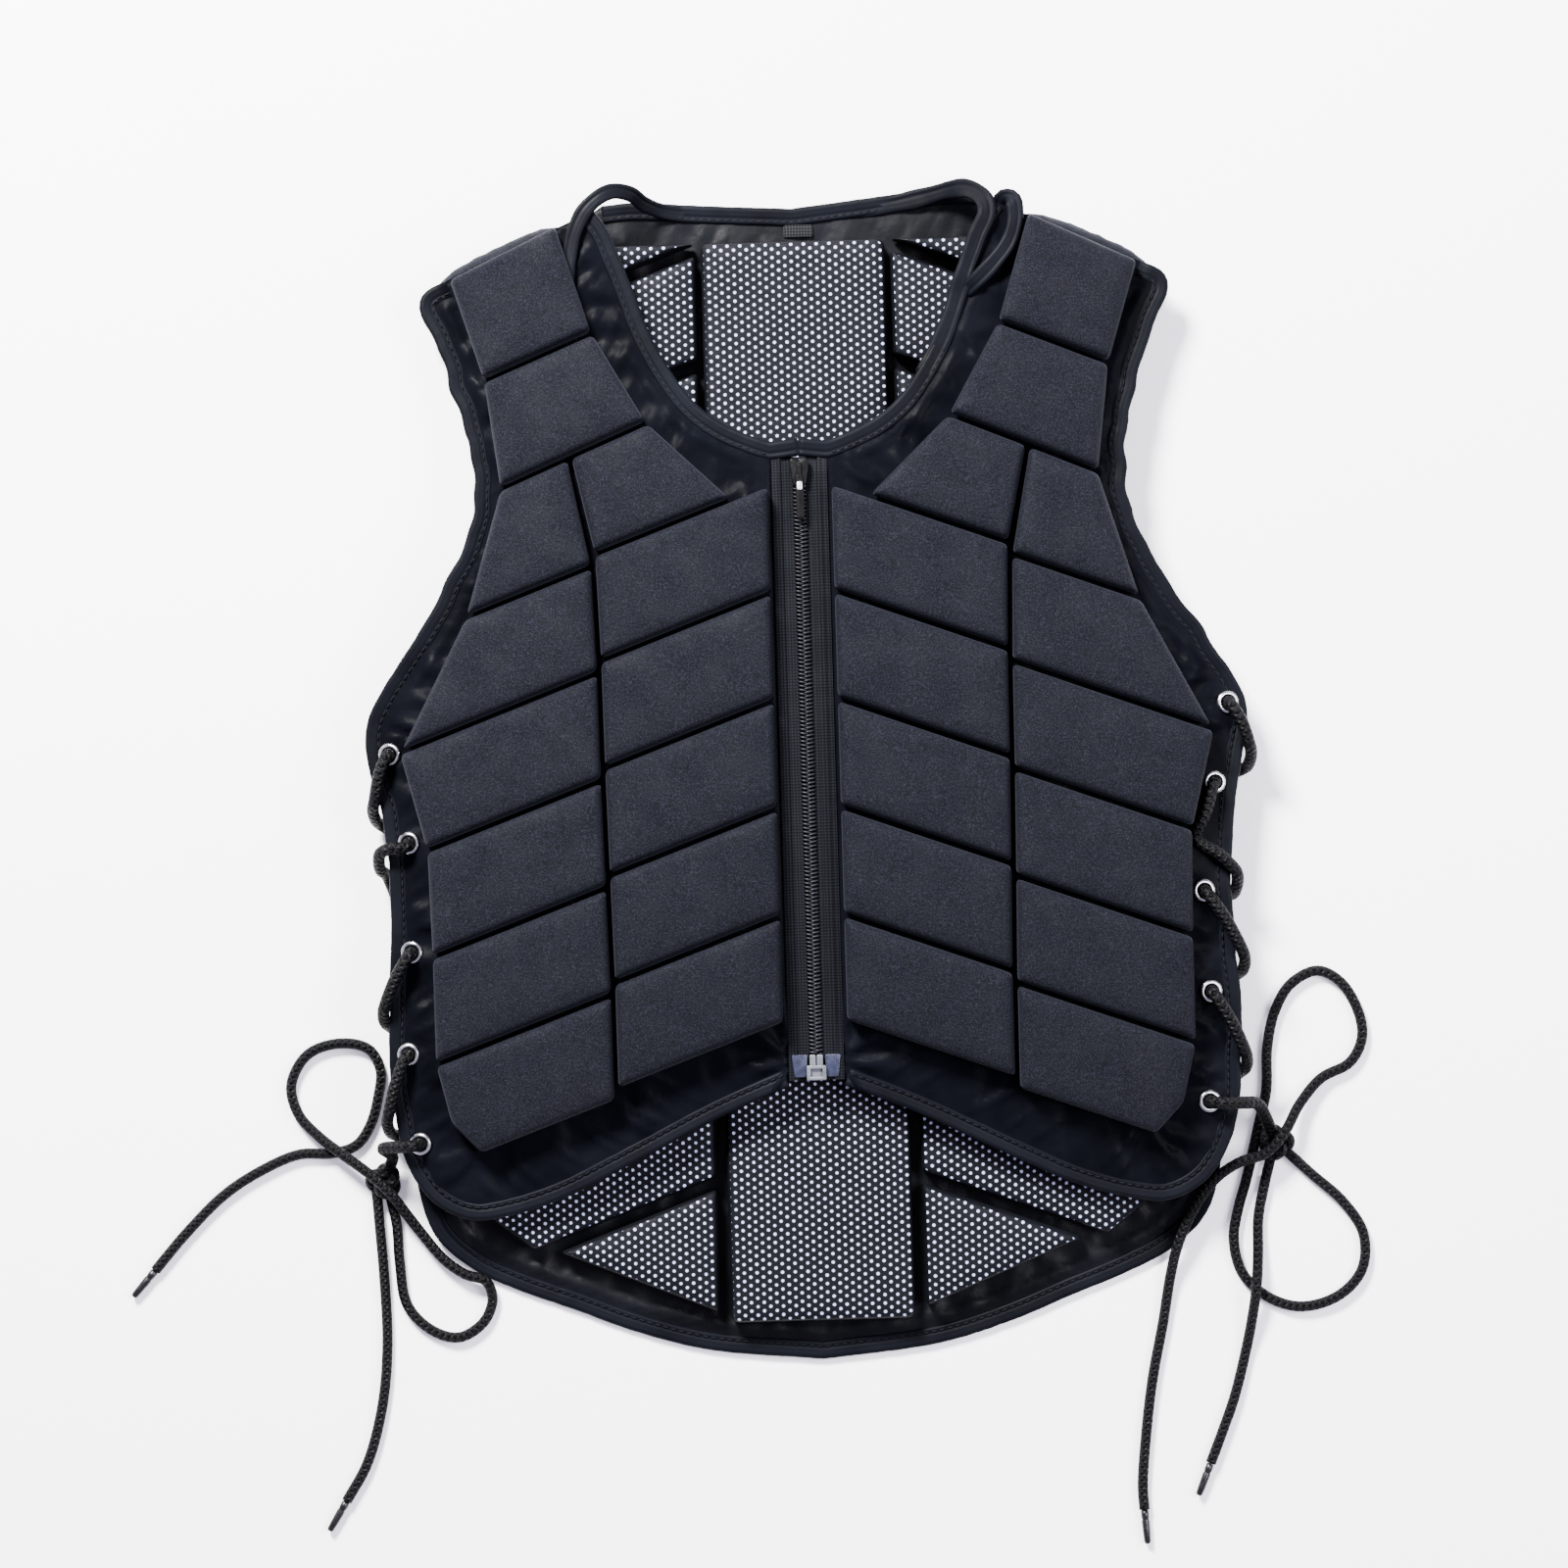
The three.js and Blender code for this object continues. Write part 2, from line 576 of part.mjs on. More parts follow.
const zipTape = () => zipStrip(COIL_HALF_WIDTH + SEAT, ZIP_HALF_WIDTH, ZIP_BOTTOM, ZIP_TOP, 0, CLOTH);
const boxTop = ZIP_BOTTOM + ZIP_BOX.length;
const zipTeeth = () =>
  zipStrip(-COIL_HALF_WIDTH, COIL_HALF_WIDTH, boxTop + SEAT, ZIP_TOP - 4, 0, CLOTH + COIL_RISE);
const boxBase = CLOTH + SEAT;
const zipBox = () =>
  zipStrip(-ZIP_BOX.width / 2, ZIP_BOX.width / 2, ZIP_BOTTOM, boxTop, boxBase, boxBase + ZIP_BOX.height);

// Slider body with the pull lying down from it.
function zipSlider() {
  const { width, length, height, y } = SLIDER;
  const half = width / 2;
  const outline = [
    [-half * 0.7, y - length / 2],
    [half * 0.7, y - length / 2],
    [half, y + length / 2],
    [-half, y + length / 2],
  ];
  const body = solidOf(plainBlock(outline, height));
  const pull = new THREE.BoxGeometry(PULL.width, PULL.length, PULL.thickness);
  pull.translate(0, y - PULL.length / 2, height - PULL.thickness / 2 - 0.5);
  const plane = frontPlane(0.6, y);
  const lift = (x, py) => plane(0.6, py) + CLOTH + COIL_RISE + SEAT;
  return liftBy(geometryOf(body.add(solidOf(pull))), lift);
}

function plainBlock(points, height) {
  const options = { depth: height, bevelEnabled: false, curveSegments: 2 };
  return new THREE.ExtrudeGeometry(roundedShape(points, 1.2), options);
}

// Eyelets
function eyelet(x, y) {
  const inner = CORD_RADIUS + LACE_CLEARANCE;
  const outer = inner + EYELET_RIM;
  const profile = [
    [inner, 0],
    [outer, 0],
    [outer - 0.5, EYELET_HEIGHT],
    [inner + 0.5, EYELET_HEIGHT],
    [inner, 0],
  ].map(([r, z]) => new THREE.Vector2(r, z));
  const ring = new THREE.LatheGeometry(profile, 12).rotateX(Math.PI / 2).translate(x, y, 0);
  const plane = frontPlane(x, y);
  return liftBy(ring, (px, py) => plane(px, py) + CLOTH + SEAT);
}

// Cords: round tubes along a route.
function tube(path, radius, steps) {
  const section = new THREE.Shape().absarc(0, 0, radius, 0, 2 * Math.PI);
  return new THREE.ExtrudeGeometry(section, { steps, extrudePath: path, curveSegments: 4 });
}

// A route that steps from one chosen point to the next, so that its tight bends keep their shape.
class SteppedRoute extends THREE.CatmullRomCurve3 {
  getPointAt(u, target) {
    return this.getPoint(u, target);
  }
  getTangentAt(u, target) {
    return this.getTangent(u, target);
  }
}

function flapEdge(y) {
  const side = smooth(edgePoints(FRONT_HEM_TO_SHOULDER, clothEdge), 2);
  const i = side.findIndex(([x, py]) => x > 0.8 * HALF_WIDTH && py > y && py > -0.3 * BACK_LENGTH);
  return Math.max(side[i][0], side[i - 1][0]);
}

// Up through the back's hole and an eyelet, over the flap, round its edge and under both flaps to the next.
function laceRoute(lacing, knot) {
  const floor = CORD_RADIUS + SEAT;
  const route = [];
  lacing.forEach((e, i) => {
    const [x, y] = share(e);
    const ringTop = frontHeight(x, y) + CLOTH + SEAT + EYELET_HEIGHT;
    const bend = LACE_BEND;
    if (i > 0) {
      route.push([backHoleX + bend, y, floor], [backHoleX + 0.3 * bend, y, floor + 0.3 * bend]);
      route.push([backHoleX, y, floor + bend], [backHoleX, y, backHeight(x) + CLOTH + 3]);
    }
    route.push([x, y, ringTop - 9], [x, y, ringTop - 3], [x, y, ringTop]);
    if (e.over === undefined) {
      route.push([x + 0.3 * bend, y - 0.3, ringTop + 0.7 * bend], [x + bend, y - 0.6, ringTop + bend]);
      const edge = flapEdge(y) + 1.5 * CORD_RADIUS;
      route.push([edge - 3, y - 1, ringTop + 0.3 * bend], [edge + 3, y - 2, ringTop - bend]);
      route.push([knot[0] - 5, knot[1] + 12, floor + 2.2 * bend], [knot[0] - 2, knot[1] + 5, floor + 4]);
      route.push([knot[0], knot[1], floor + 1]);
      return;
    }
    const over = e.over * BACK_LENGTH;
    const edge = flapEdge(over) + CORD_RADIUS + 1;
    const [bx, by] = e.bow ? share(e.bow) : [x, y];
    const toward = e.bow ? -1 : 1;
    route.push([x + toward * 0.3 * bend, y - 2, ringTop + 0.7 * bend]);
    if (e.bow) route.push([(x + bx) / 2, (y + by) / 2, ringTop + bend], [bx, by, ringTop + 0.6 * bend]);
    route.push([(bx + edge) / 2, (by + over) / 2, ringTop + 0.9 * bend]);
    route.push([edge - 0.4 * bend, over, ringTop + 0.1 * bend], [edge, over, ringTop - 1.3 * bend]);
    route.push([edge, over - 1, floor + 1.2 * bend], [edge - 0.6 * bend, over - 2, floor + 0.2 * bend]);
  });
  return route;
}

function knotSolid([x, y]) {
  const g = new THREE.SphereGeometry(0.5, 10, 6).scale(KNOT.length, KNOT.width, KNOT.height);
  return solidOf(g.translate(x, y, KNOT.height / 2 + SEAT));
}

function sideLace(lacing, side) {
  const knot = KNOT_AT[side > 0 ? "right" : "left"];
  const route = laceRoute(lacing, [Math.abs(knot[0]), knot[1]]);
  const points = route.map(([x, y, z]) => new THREE.Vector3(x, y, z));
  const path = new SteppedRoute(points, false, "centripetal");
  const lace = solidOf(tube(path, CORD_RADIUS, points.length - 1));
  return geometryOf(lace.add(knotSolid([Math.abs(knot[0]), knot[1]])));
}

// A free end lies on the surface and passes over in low humps.
function cordPath(points) {
  const lying = points.map(([x, y, lift]) => new THREE.Vector3(x, y, CORD_RADIUS + SEAT + lift));
  return new THREE.CatmullRomCurve3(lying, false, "centripetal");
}

function freeCord(points) {
  const path = cordPath(points);
  return tube(path, CORD_RADIUS, Math.round(path.getLength() / CORD_STEP));
}

function aglet(points) {
  const path = cordPath(points);
  const end = path.getPointAt(1);
  const along = path.getTangentAt(1);
  along.z = 0;
  along.normalize();
  const g = new THREE.CylinderGeometry(AGLET_RADIUS * 0.8, AGLET_RADIUS, AGLET_LENGTH, 8);
  g.translate(0, AGLET_LENGTH / 2 + SEAT, 0);
  g.applyQuaternion(new THREE.Quaternion().setFromUnitVectors(new THREE.Vector3(0, 1, 0), along));
  return g.translate(end.x, end.y, end.z);
}

function neckTab() {
  const { width, length, thickness, x, belowCollar } = NECK_TAB;
  const y = share(BACK_COLLAR.at(-1))[1] - belowCollar;
  return new THREE.BoxGeometry(width, length, thickness).translate(x, y, CLOTH + SEAT + thickness / 2);
}

// Materials
function finish(color, roughness, metalness = 0) {
  return new THREE.MeshStandardMaterial({ color, roughness, metalness });
}

const materials = {
  cloth: finish(0x15171a, 0.8),
  foam: finish(0x2f313b, 0.9),
  lining: finish(0x8a8c96, 0.9),
  tape: finish(0x24262e, 0.85),
  coil: finish(0x3a3c45, 0.6),
  slider: finish(0x2a2b30, 0.4, 0.7),
  box: finish(0xb8b8bc, 0.5),
  silver: finish(0xc9cacd, 0.25, 1.0),
  cord: finish(0x1c1c22, 0.75),
  aglet: finish(0x111114, 0.35),
  tab: finish(0x4a4b50, 0.8),
};

const vest = new THREE.Group();
vest.name = "body_protector";
const held = new THREE.Group();
const freeEnds = new THREE.Group();
vest.add(held, freeEnds);

function put(name, geometry, material, mirror = false, group = held) {
  const mesh = new THREE.Mesh(geometry, material);
  mesh.name = name;
  if (mirror) mesh.scale.x = -1;
  group.add(mesh);
}

put("back_shell", geometryOf(backShell()), materials.cloth);
put("pad_back_spine", spinePad(), materials.lining);
for (const side of ["right", "left"]) {
  const mirror = side === "left";
  put("front_shell_" + side, geometryOf(frontShell(LACING[side])), materials.cloth, mirror);
  put("pads_back_" + side, geometryOf(backSidePads()), materials.lining, mirror);
  for (const [name, cell] of Object.entries(frontCells()))
    put("pad_" + side + "_" + name, frontPad(cell), materials.foam, mirror);
  put("zip_tape_" + side, zipTape(), materials.tape, mirror);
  LACING[side].forEach((e, i) =>
    put("eyelet_" + side + "_" + (i + 1), eyelet(...share(e)), materials.silver, mirror),
  );
  put("side_lace_" + side, sideLace(LACING[side], mirror ? -1 : 1), materials.cord, mirror);
}
put("zip_teeth", zipTeeth(), materials.coil);
put("zip_slider", zipSlider(), materials.slider);
put("zip_box", zipBox(), materials.box);
put("neck_tab", neckTab(), materials.tab);
const bows = {
  right_long: BOW_RIGHT_LONG,
  right_short: BOW_RIGHT_SHORT,
  left_long: BOW_LEFT_LONG,
  left_short: BOW_LEFT_SHORT,
};
for (const [name, points] of Object.entries(bows)) {
  put("bow_" + name, freeCord(points), materials.cord, false, freeEnds);
  put("aglet_" + name, aglet(points), materials.aglet, false, freeEnds);
}

// The origin is on the surface under the middle of everything but the free cord ends.
const footprint = new THREE.Box3().setFromObject(held);
const middle = footprint.getCenter(new THREE.Vector3());
vest.position.set(-middle.x, -middle.y, -footprint.min.z);

export default vest;
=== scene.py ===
"""Dressed model of the riding body protector: foam pads, satin margins, bound edges, net lining, zip, laces.

Lengths in this file are millimetres in the vest's own frame, with x from the zip. put_mesh turns them into
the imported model's frame: metres, with its origin under the middle of the footprint.
"""
import math

import bpy
import numpy as np
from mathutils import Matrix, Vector, noise
from mathutils.geometry import delaunay_2d_cdt


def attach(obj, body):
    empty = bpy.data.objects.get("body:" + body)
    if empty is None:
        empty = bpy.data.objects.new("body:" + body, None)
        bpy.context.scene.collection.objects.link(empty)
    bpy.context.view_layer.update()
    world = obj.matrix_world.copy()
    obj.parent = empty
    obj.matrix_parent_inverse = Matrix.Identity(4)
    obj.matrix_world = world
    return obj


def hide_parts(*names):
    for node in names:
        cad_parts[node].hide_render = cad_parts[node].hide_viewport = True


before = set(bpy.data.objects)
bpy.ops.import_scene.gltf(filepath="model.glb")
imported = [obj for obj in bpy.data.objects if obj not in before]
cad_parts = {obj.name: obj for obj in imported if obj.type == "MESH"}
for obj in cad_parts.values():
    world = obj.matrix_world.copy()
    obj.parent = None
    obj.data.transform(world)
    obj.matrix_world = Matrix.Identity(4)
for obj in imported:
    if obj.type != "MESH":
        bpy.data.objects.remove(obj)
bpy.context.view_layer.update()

SHIFT_X = -5.25
BACK_LENGTH = 550.0
HALF_WIDTH = 207.0
CAVITY = 21.5
CLOTH = 2.4
SEAT = 0.4
PAD_CORNER = 2.7
PAD_GAP = 2.2
SEAM_SLOPE = 0.367
SEAM_PITCH = 50.2
SEAM_TOP = 142.5
COLUMN_STEP = 5.0
BACK_PAD_THICKNESS = 13.6
BACK_SEAM_PITCH = 55.0
BACK_SEAM_LOWEST = -172.0
BACK_GROOVE = 5.6
SPINE_HALF_WIDTH = 43.5
SPINE_TOP = 254.0
SPINE_BOTTOM = -256.0
ZIP_HALF_WIDTH = 12.6
ZIP_TOP = 155.0
ZIP_BOTTOM = -141.0
SLIDER_Y = 143.0
CORD_RADIUS = 2.5
LACE_RADIUS = 2.9
FOLD_SIDES = 15
EYELET_HEIGHT = 1.6
EYELET_INNER = 3.1
EYELET_OUTER = 5.5
BACK_HOLE_X = 181.0
LACE_BEND = 5.0
AGLET_RADIUS = 1.9
AGLET_LENGTH = 16.0
BINDING_WIDTH = 8.4
BINDING_LAP = 0.4
STITCH_INSET = BINDING_WIDTH - 2.6
EDGE_STEP = 2.5
FLOOR_GAP = 0.3
ARMHOLE = (30, 222)
BACK_TOP = CLOTH + SEAT + BACK_PAD_THICKNESS
CLOTH_EDGE = ZIP_HALF_WIDTH + SEAT

# Free height of the front, as in the solids: share of width or length, and drop as a share of CAVITY
FRONT_ACROSS = [(0.0, 0.0), (0.46, 0.14), (0.86, 0.46), (1.04, 0.82)]
FRONT_ALONG = [
    (-0.3, 0.46), (-0.2, 0.24), (-0.105, 0.08), (-0.015, 0.0), (0.077, 0.0),
    (0.168, 0.05), (0.259, 0.14), (0.358, 0.26), (0.452, 0.37), (0.62, 0.47),
]
BACK_ACROSS = [(0.0, 0.0), (0.8, 0.0), (0.88, 0.48), (0.94, 0.56), (1.04, 0.6)]

# Outlines of the right half, as shares of HALF_WIDTH and BACK_LENGTH
FRONT_SIDE = [
    (CLOTH_EDGE / HALF_WIDTH, -0.261), (0.213, -0.284), (0.444, -0.327), (0.58, -0.351), (0.705, -0.365),
    (0.792, -0.368), (0.874, -0.353), (0.928, -0.324), (0.957, -0.285), (0.966, -0.2), (0.952, -0.109),
    (0.966, -0.027), (0.988, 0.009), (1.0, 0.04), (0.99, 0.064), (0.932, 0.1), (0.86, 0.14),
    (0.792, 0.184), (0.749, 0.222), (0.734, 0.258), (0.744, 0.291), (0.773, 0.333), (0.807, 0.375),
    (0.845, 0.404), (0.86, 0.422),
]
SHOULDER_NECK_END = (0.517, 0.478)
FRONT_NECK = [
    (0.449, 0.489), (0.42, 0.473), (0.4, 0.455), (0.367, 0.422), (0.333, 0.385), (0.29, 0.353),
    (0.232, 0.322), (0.169, 0.303), (0.087, 0.289), (CLOTH_EDGE / HALF_WIDTH, 0.286),
]
BACK_SIDE = [
    (0.0, -0.5), (0.266, -0.489), (0.435, -0.471), (0.57, -0.451), (0.696, -0.433), (0.802, -0.413),
    (0.879, -0.384), (0.913, -0.345), (0.928, -0.273), (0.928, -0.109), (0.937, 0.0), (0.947, 0.055),
    (0.908, 0.1), (0.836, 0.142), (0.773, 0.184), (0.729, 0.222), (0.715, 0.258), (0.725, 0.291),
    (0.758, 0.333), (0.792, 0.375), (0.826, 0.404), (0.845, 0.422),
]
BACK_COLLAR = [(0.435, 0.498), (0.362, 0.5), (0.217, 0.496), (0.0, 0.491)]
# The collar's right half stands a little higher as it lies in the photograph
RAISED_COLLAR = [(0.43, 0.505), (0.362, 0.506), (0.217, 0.5), (0.0, 0.491)]
BACK_PAD_EDGE = [
    (0.236, -0.456), (0.609, -0.399), (0.657, -0.398), (0.749, -0.371), (0.816, -0.33), (0.836, -0.273),
    (0.84, -0.109), (0.85, 0.0), (0.845, 0.045), (0.79, 0.109), (0.715, 0.16), (0.667, 0.204),
    (0.65, 0.255), (0.667, 0.3), (0.71, 0.355), (0.755, 0.405), (0.5, 0.462), (0.222, 0.462),
]
SHOULDER_SEAMS = [
    {"height": 0.569, "fall": 0.459, "inner": 0.531, "outer": 0.783},
    {"height": 0.452, "fall": 0.4, "inner": 0.454, "outer": 0.71},
    {"height": 0.358, "fall": 0.413, "inner": 0.336, "split": 0.517, "outer": 0.679},
]
BODY_SEAMS = [
    ("a", 0.469, 0.766), ("b", 0.462, 0.923), ("c", 0.46, 0.867),
    ("d", 0.456, 0.862), ("e", 0.452, 0.862), ("f", 0.452, 0.763),
]
PAD_INNER_EDGE = 13.8
ROW_A_INNER = 0.15
LOWEST_CORNER = (0.83, -0.285)

# Eyelets from the top down: x and y shares, where the lace rounds the flap's edge, and where it bows inward
LACING = {
    "right": [
        (0.957, 0.055, 0.012, None), (0.921, -0.013, -0.096, (0.874, -0.06)), (0.889, -0.105, -0.165, None),
        (0.899, -0.191, -0.25, None), (0.889, -0.285, None, None),
    ],
    "left": [
        (0.947, 0.031, -0.015, None), (0.908, -0.045, -0.06, None), (0.908, -0.138, -0.19, None),
        (0.923, -0.225, -0.282, None), (0.903, -0.302, None, None),
    ],
}
KNOT_AT = {"right": (216.5, -178.5), "left": (-206.0, -184.5)}

# Chosen routes of the free cords: x, y, and the lift above lying on the surface
BOWS = {
    "right_long": [
        (223.8, -185.2, 0), (233, -194, 0), (248, -208, 0), (257, -223, 0), (256, -240, 0), (245, -252, 0),
        (227, -257, 0), (211, -252, 0), (199, -240, 0), (195.5, -224, 0), (198, -210, 0), (202, -197, 0),
        (205.5, -184, 0), (209, -170, 0), (213, -154, 0), (214, -134, 0), (218, -117, 0), (226, -104, 0),
        (239, -98, 0), (250, -104, 0), (258, -119, 0), (259, -131, 0), (253, -142, 0), (239, -149, 1),
        (228, -161, 4), (220.5, -173, 9), (211, -183, 10), (198, -187, 10.5), (186, -195, 11), (176, -209, 9),
        (169, -224, 6.5), (165, -240, 1.5), (161, -262, 0), (155, -290, 0), (151, -318, 0), (149, -340, 0),
        (149.5, -351, 0),
    ],
    "right_short": [
        (214, -186.6, 0), (210.5, -200, 0), (207.5, -214, 0), (206.5, -232, 3), (205, -246.5, 6.6),
        (203, -261, 3), (200, -276, 0), (194, -298, 0), (188, -314, 0), (181.5, -330, 0),
    ],
    "left_long": [
        (-203.9, -190.4, 0), (-200.9, -206, 0), (-200, -224, 0), (-197, -244, 0), (-186, -256, 0),
        (-173, -260, 0), (-161, -253, 0), (-156.5, -242, 0.5), (-159.5, -233, 3.6), (-168.5, -230, 3.6),
        (-179, -222.5, 2.5), (-189, -210, 2.5), (-196, -200, 5), (-202.5, -190.5, 8.5), (-212, -181, 8.5),
        (-224, -172, 6.5), (-236, -163, 2.5), (-246, -152, 0), (-249, -138, 0), (-241, -124, 0),
        (-226, -119, 0), (-212, -122, 0), (-206.5, -132, 0), (-208, -145, 0), (-212, -158, 0),
        (-219, -167.5, 0), (-231, -171, 0), (-246, -171, 0), (-264, -178, 0), (-282, -189, 0),
        (-300, -206, 0), (-316, -224, 0),
    ],
    "left_short": [
        (-210, -190.4, 0), (-209, -206, 0), (-207.5, -232, 0), (-207, -262, 0), (-210, -290, 0),
        (-218, -318, 0), (-228.5, -336, 0),
    ],
}

SIDES = (("right", 1), ("left", -1))


# Heights of the cloth

def unit(value):
    """The value, held between 0 and 1."""
    return min(1, max(0, value))


def wobble(x, y, z=0.0):
    """Smooth noise at a place, the same in every run."""
    return noise.noise(Vector((x, y, z)))


def follow(table, at):
    i = 1
    while i < len(table) - 1 and at > table[i][0]:
        i += 1
    (a, low), (b, high) = table[i - 1], table[i]
    return low + (high - low) * (at - a) / (b - a)


def front_height(x, y):
    v = y + SEAM_SLOPE * abs(x)
    drop = follow(FRONT_ACROSS, abs(x) / HALF_WIDTH) + follow(FRONT_ALONG, v / BACK_LENGTH)
    return BACK_TOP + SEAT + CAVITY * (1 - drop)


def back_height(x):
    return BACK_PAD_THICKNESS * follow(BACK_ACROSS, abs(x) / HALF_WIDTH)


def front_plane(cx, cy, step=0.5):
    gx = front_height(cx + step, cy) - front_height(cx - step, cy)
    gy = front_height(cx, cy + step) - front_height(cx, cy - step)
    at = front_height(cx, cy)
    return lambda x, y: at + gx * (x - cx) + gy * (y - cy)


# Curves and outlines

def smooth_path(points, per=6):
    """Centripetal curve through the points."""
    pts = [Vector(p) for p in points]
    ext = [2 * pts[0] - pts[1], *pts, 2 * pts[-1] - pts[-2]]
    out = []
    for i in range(1, len(ext) - 2):
        p = ext[i - 1:i + 3]
        t = [0.0]
        for a, b in zip(p, p[1:]):
            t.append(t[-1] + max(math.sqrt((b - a).length), 1e-4))
        for k in range(per):
            u = t[1] + (t[2] - t[1]) * k / per
            mix = lambda a, b, s, e: a * ((e - u) / (e - s)) + b * ((u - s) / (e - s))
            a1, a2, a3 = mix(p[0], p[1], t[0], t[1]), mix(p[1], p[2], t[1], t[2]), mix(p[2], p[3], t[2], t[3])
            b1, b2 = mix(a1, a2, t[0], t[2]), mix(a2, a3, t[1], t[3])
            out.append(mix(b1, b2, t[1], t[2]))
    out.append(pts[-1])
    return out


def resample(points, step, closed=False):
    """Points at equal distances along a polyline."""
    pts = [Vector(p) for p in points]
    if closed:
        pts.append(pts[0])
    lengths = [0.0]
    for a, b in zip(pts, pts[1:]):
        lengths.append(lengths[-1] + (b - a).length)
    count = max(2, round(lengths[-1] / step))
    out, i = [], 0
    for k in range(count if closed else count + 1):
        at = lengths[-1] * k / count
        while i < len(pts) - 2 and lengths[i + 1] < at:
            i += 1
        span = lengths[i + 1] - lengths[i]
        out.append(pts[i].lerp(pts[i + 1], 0 if span == 0 else (at - lengths[i]) / span))
    return out


def spot(share):
    """Millimetres from shares of HALF_WIDTH and BACK_LENGTH."""
    return share[0] * HALF_WIDTH, share[1] * BACK_LENGTH


def scaled(table):
    return [(*spot(share), 0.0) for share in table]


def flat(points):
    return [(p.x, p.y) for p in points]


def edge_curve(table):
    return flat(resample(smooth_path(scaled(table)), EDGE_STEP))


def edge_line(start, end):
    """Points on the straight line between two points, both included."""
    return flat(resample([(*start, 0), (*end, 0)], EDGE_STEP))


def neighbours(points):
    """Each point of a closed outline between the one before it and the one after it."""
    return zip(points[-1:] + points[:-1], points, points[1:] + points[:1])


def corner_bend(start, corner, end, shares):
    """Points of the curve that rounds a corner from start to end."""
    return [start * (1 - t) ** 2 + corner * (2 * t * (1 - t)) + end * t * t for t in shares]


def corner_reach(before, p, after, radius, most):
    """Where the rounding of a corner starts and ends."""
    r1, r2 = (min(radius, (q - p).length * most) for q in (before, after))
    return p + (before - p).normalized() * r1, p + (after - p).normalized() * r2


def scalloped(run, lacing):
    """Draws the edge in where the lace goes round it."""
    pulls = [over * BACK_LENGTH for _, _, over, _ in lacing if over is not None]
    pull = lambda y: 0.8 * sum(math.exp(-(((y - p) / 9) ** 2)) for p in pulls)
    return [(x - pull(y) if x > 0.85 * HALF_WIDTH else x, y) for x, y in run]


def wavy(run, seed, reach=1.5):
    """Small waves in the armhole's edge, fading out at both ends of it."""
    out = []
    for x, y in run:
        fade = min(unit((y - ARMHOLE[0]) / 20), unit((ARMHOLE[1] - y) / 15)) if x > 0.6 * HALF_WIDTH else 0
        out.append((x + reach * fade * wobble(y / 15, seed) * 1.6, y))
    return out


def shoulder_corner(run, along=16.0, radius=9.0):
    """Rounds the shoulder's outer corner and goes on a little along the shoulder seam."""
    corner = Vector(run[-1])
    toward = (Vector(spot(SHOULDER_NECK_END)) - corner).normalized()
    kept = [q for q in run if (Vector(q) - corner).length > radius or q[1] < corner.y - 2 * radius]
    start, end = Vector(kept[-1]), corner + toward * radius
    bend = corner_bend(start, corner, end, (0.2, 0.4, 0.6, 0.8, 1.0))
    return kept + flat(bend) + [tuple(corner + toward * along)]


def over_zip(run):
    """Carries the neck's binding on over the top of the zip tape."""
    x, y = run[-1]
    return run + [(x - 2.52 * k, y + 0.3 * k) for k in range(1, 6)]


def front_outline(side):
    """Bound runs of a front panel: round the side, and the neck. Together they are its outline."""
    seed = 5.0 if side == "right" else 12.0
    drawn_in = scalloped(edge_curve(FRONT_SIDE), LACING[side])
    return shoulder_corner(wavy(drawn_in, seed)), edge_curve(FRONT_NECK)


def rounded(points, radius, step=2.0):
    """A polygon with rounded corners, as evenly spaced points."""
    out = []
    for before, p, after in neighbours([Vector((*p, 0)) for p in points]):
        start, end = corner_reach(before, p, after, radius, 0.45)
        out += corner_bend(start, p, end, [k / 6 for k in range(7)])
    return flat(resample(out, step, closed=True))


def offset(points, distance):
    """Moves a closed counterclockwise outline inward."""
    out = []
    for (ax, ay), (x, y), (bx, by) in neighbours(points):
        length = math.hypot(bx - ax, by - ay) or 1
        out.append((x - (by - ay) / length * distance, y + (bx - ax) / length * distance))
    return out


def clip(points, a, b, c):
    """The part of a polygon where a x + b y <= c."""
    out = []
    for i, q in enumerate(points):
        p = points[i - 1]
        dp, dq = a * p[0] + b * p[1] - c, a * q[0] + b * q[1] - c
        if (dp < 0) != (dq < 0):
            t = dp / (dp - dq)
            out.append((p[0] + (q[0] - p[0]) * t, p[1] + (q[1] - p[1]) * t))
        if dq <= 0:
            out.append(q)
    return out


def nearest_edge(points, outline):
    """For each point: its distance from the outline, and how far along the outline that is."""
    a = np.array(outline, float)
    seg = np.roll(a, -1, axis=0) - a
    length = np.linalg.norm(seg, axis=1)
    start = np.concatenate(([0], np.cumsum(length)[:-1]))
    p = np.array(points, float)[:, None, :]
    t = np.clip(((p - a) * seg).sum(2) / np.maximum(length**2, 1e-9), 0, 1)
    d = np.linalg.norm(p - (a + t[..., None] * seg), axis=2)
    k = d.argmin(axis=1)
    rows = np.arange(len(k))
    return d[rows, k], start[k] + t[rows, k] * length[k]


def inside(points, outline):
    p = np.array(points, float)
    a = np.array(outline, float)
    b = np.roll(a, -1, axis=0)
    x, y = p[:, :1], p[:, 1:2]
    crosses = (a[:, 1] > y) != (b[:, 1] > y)
    rise = np.where(b[:, 1] == a[:, 1], 1e-9, b[:, 1] - a[:, 1])
    at = a[:, 0] + (y - a[:, 1]) * (b[:, 0] - a[:, 0]) / rise
    return (crosses & (x < at)).sum(axis=1) % 2 == 1


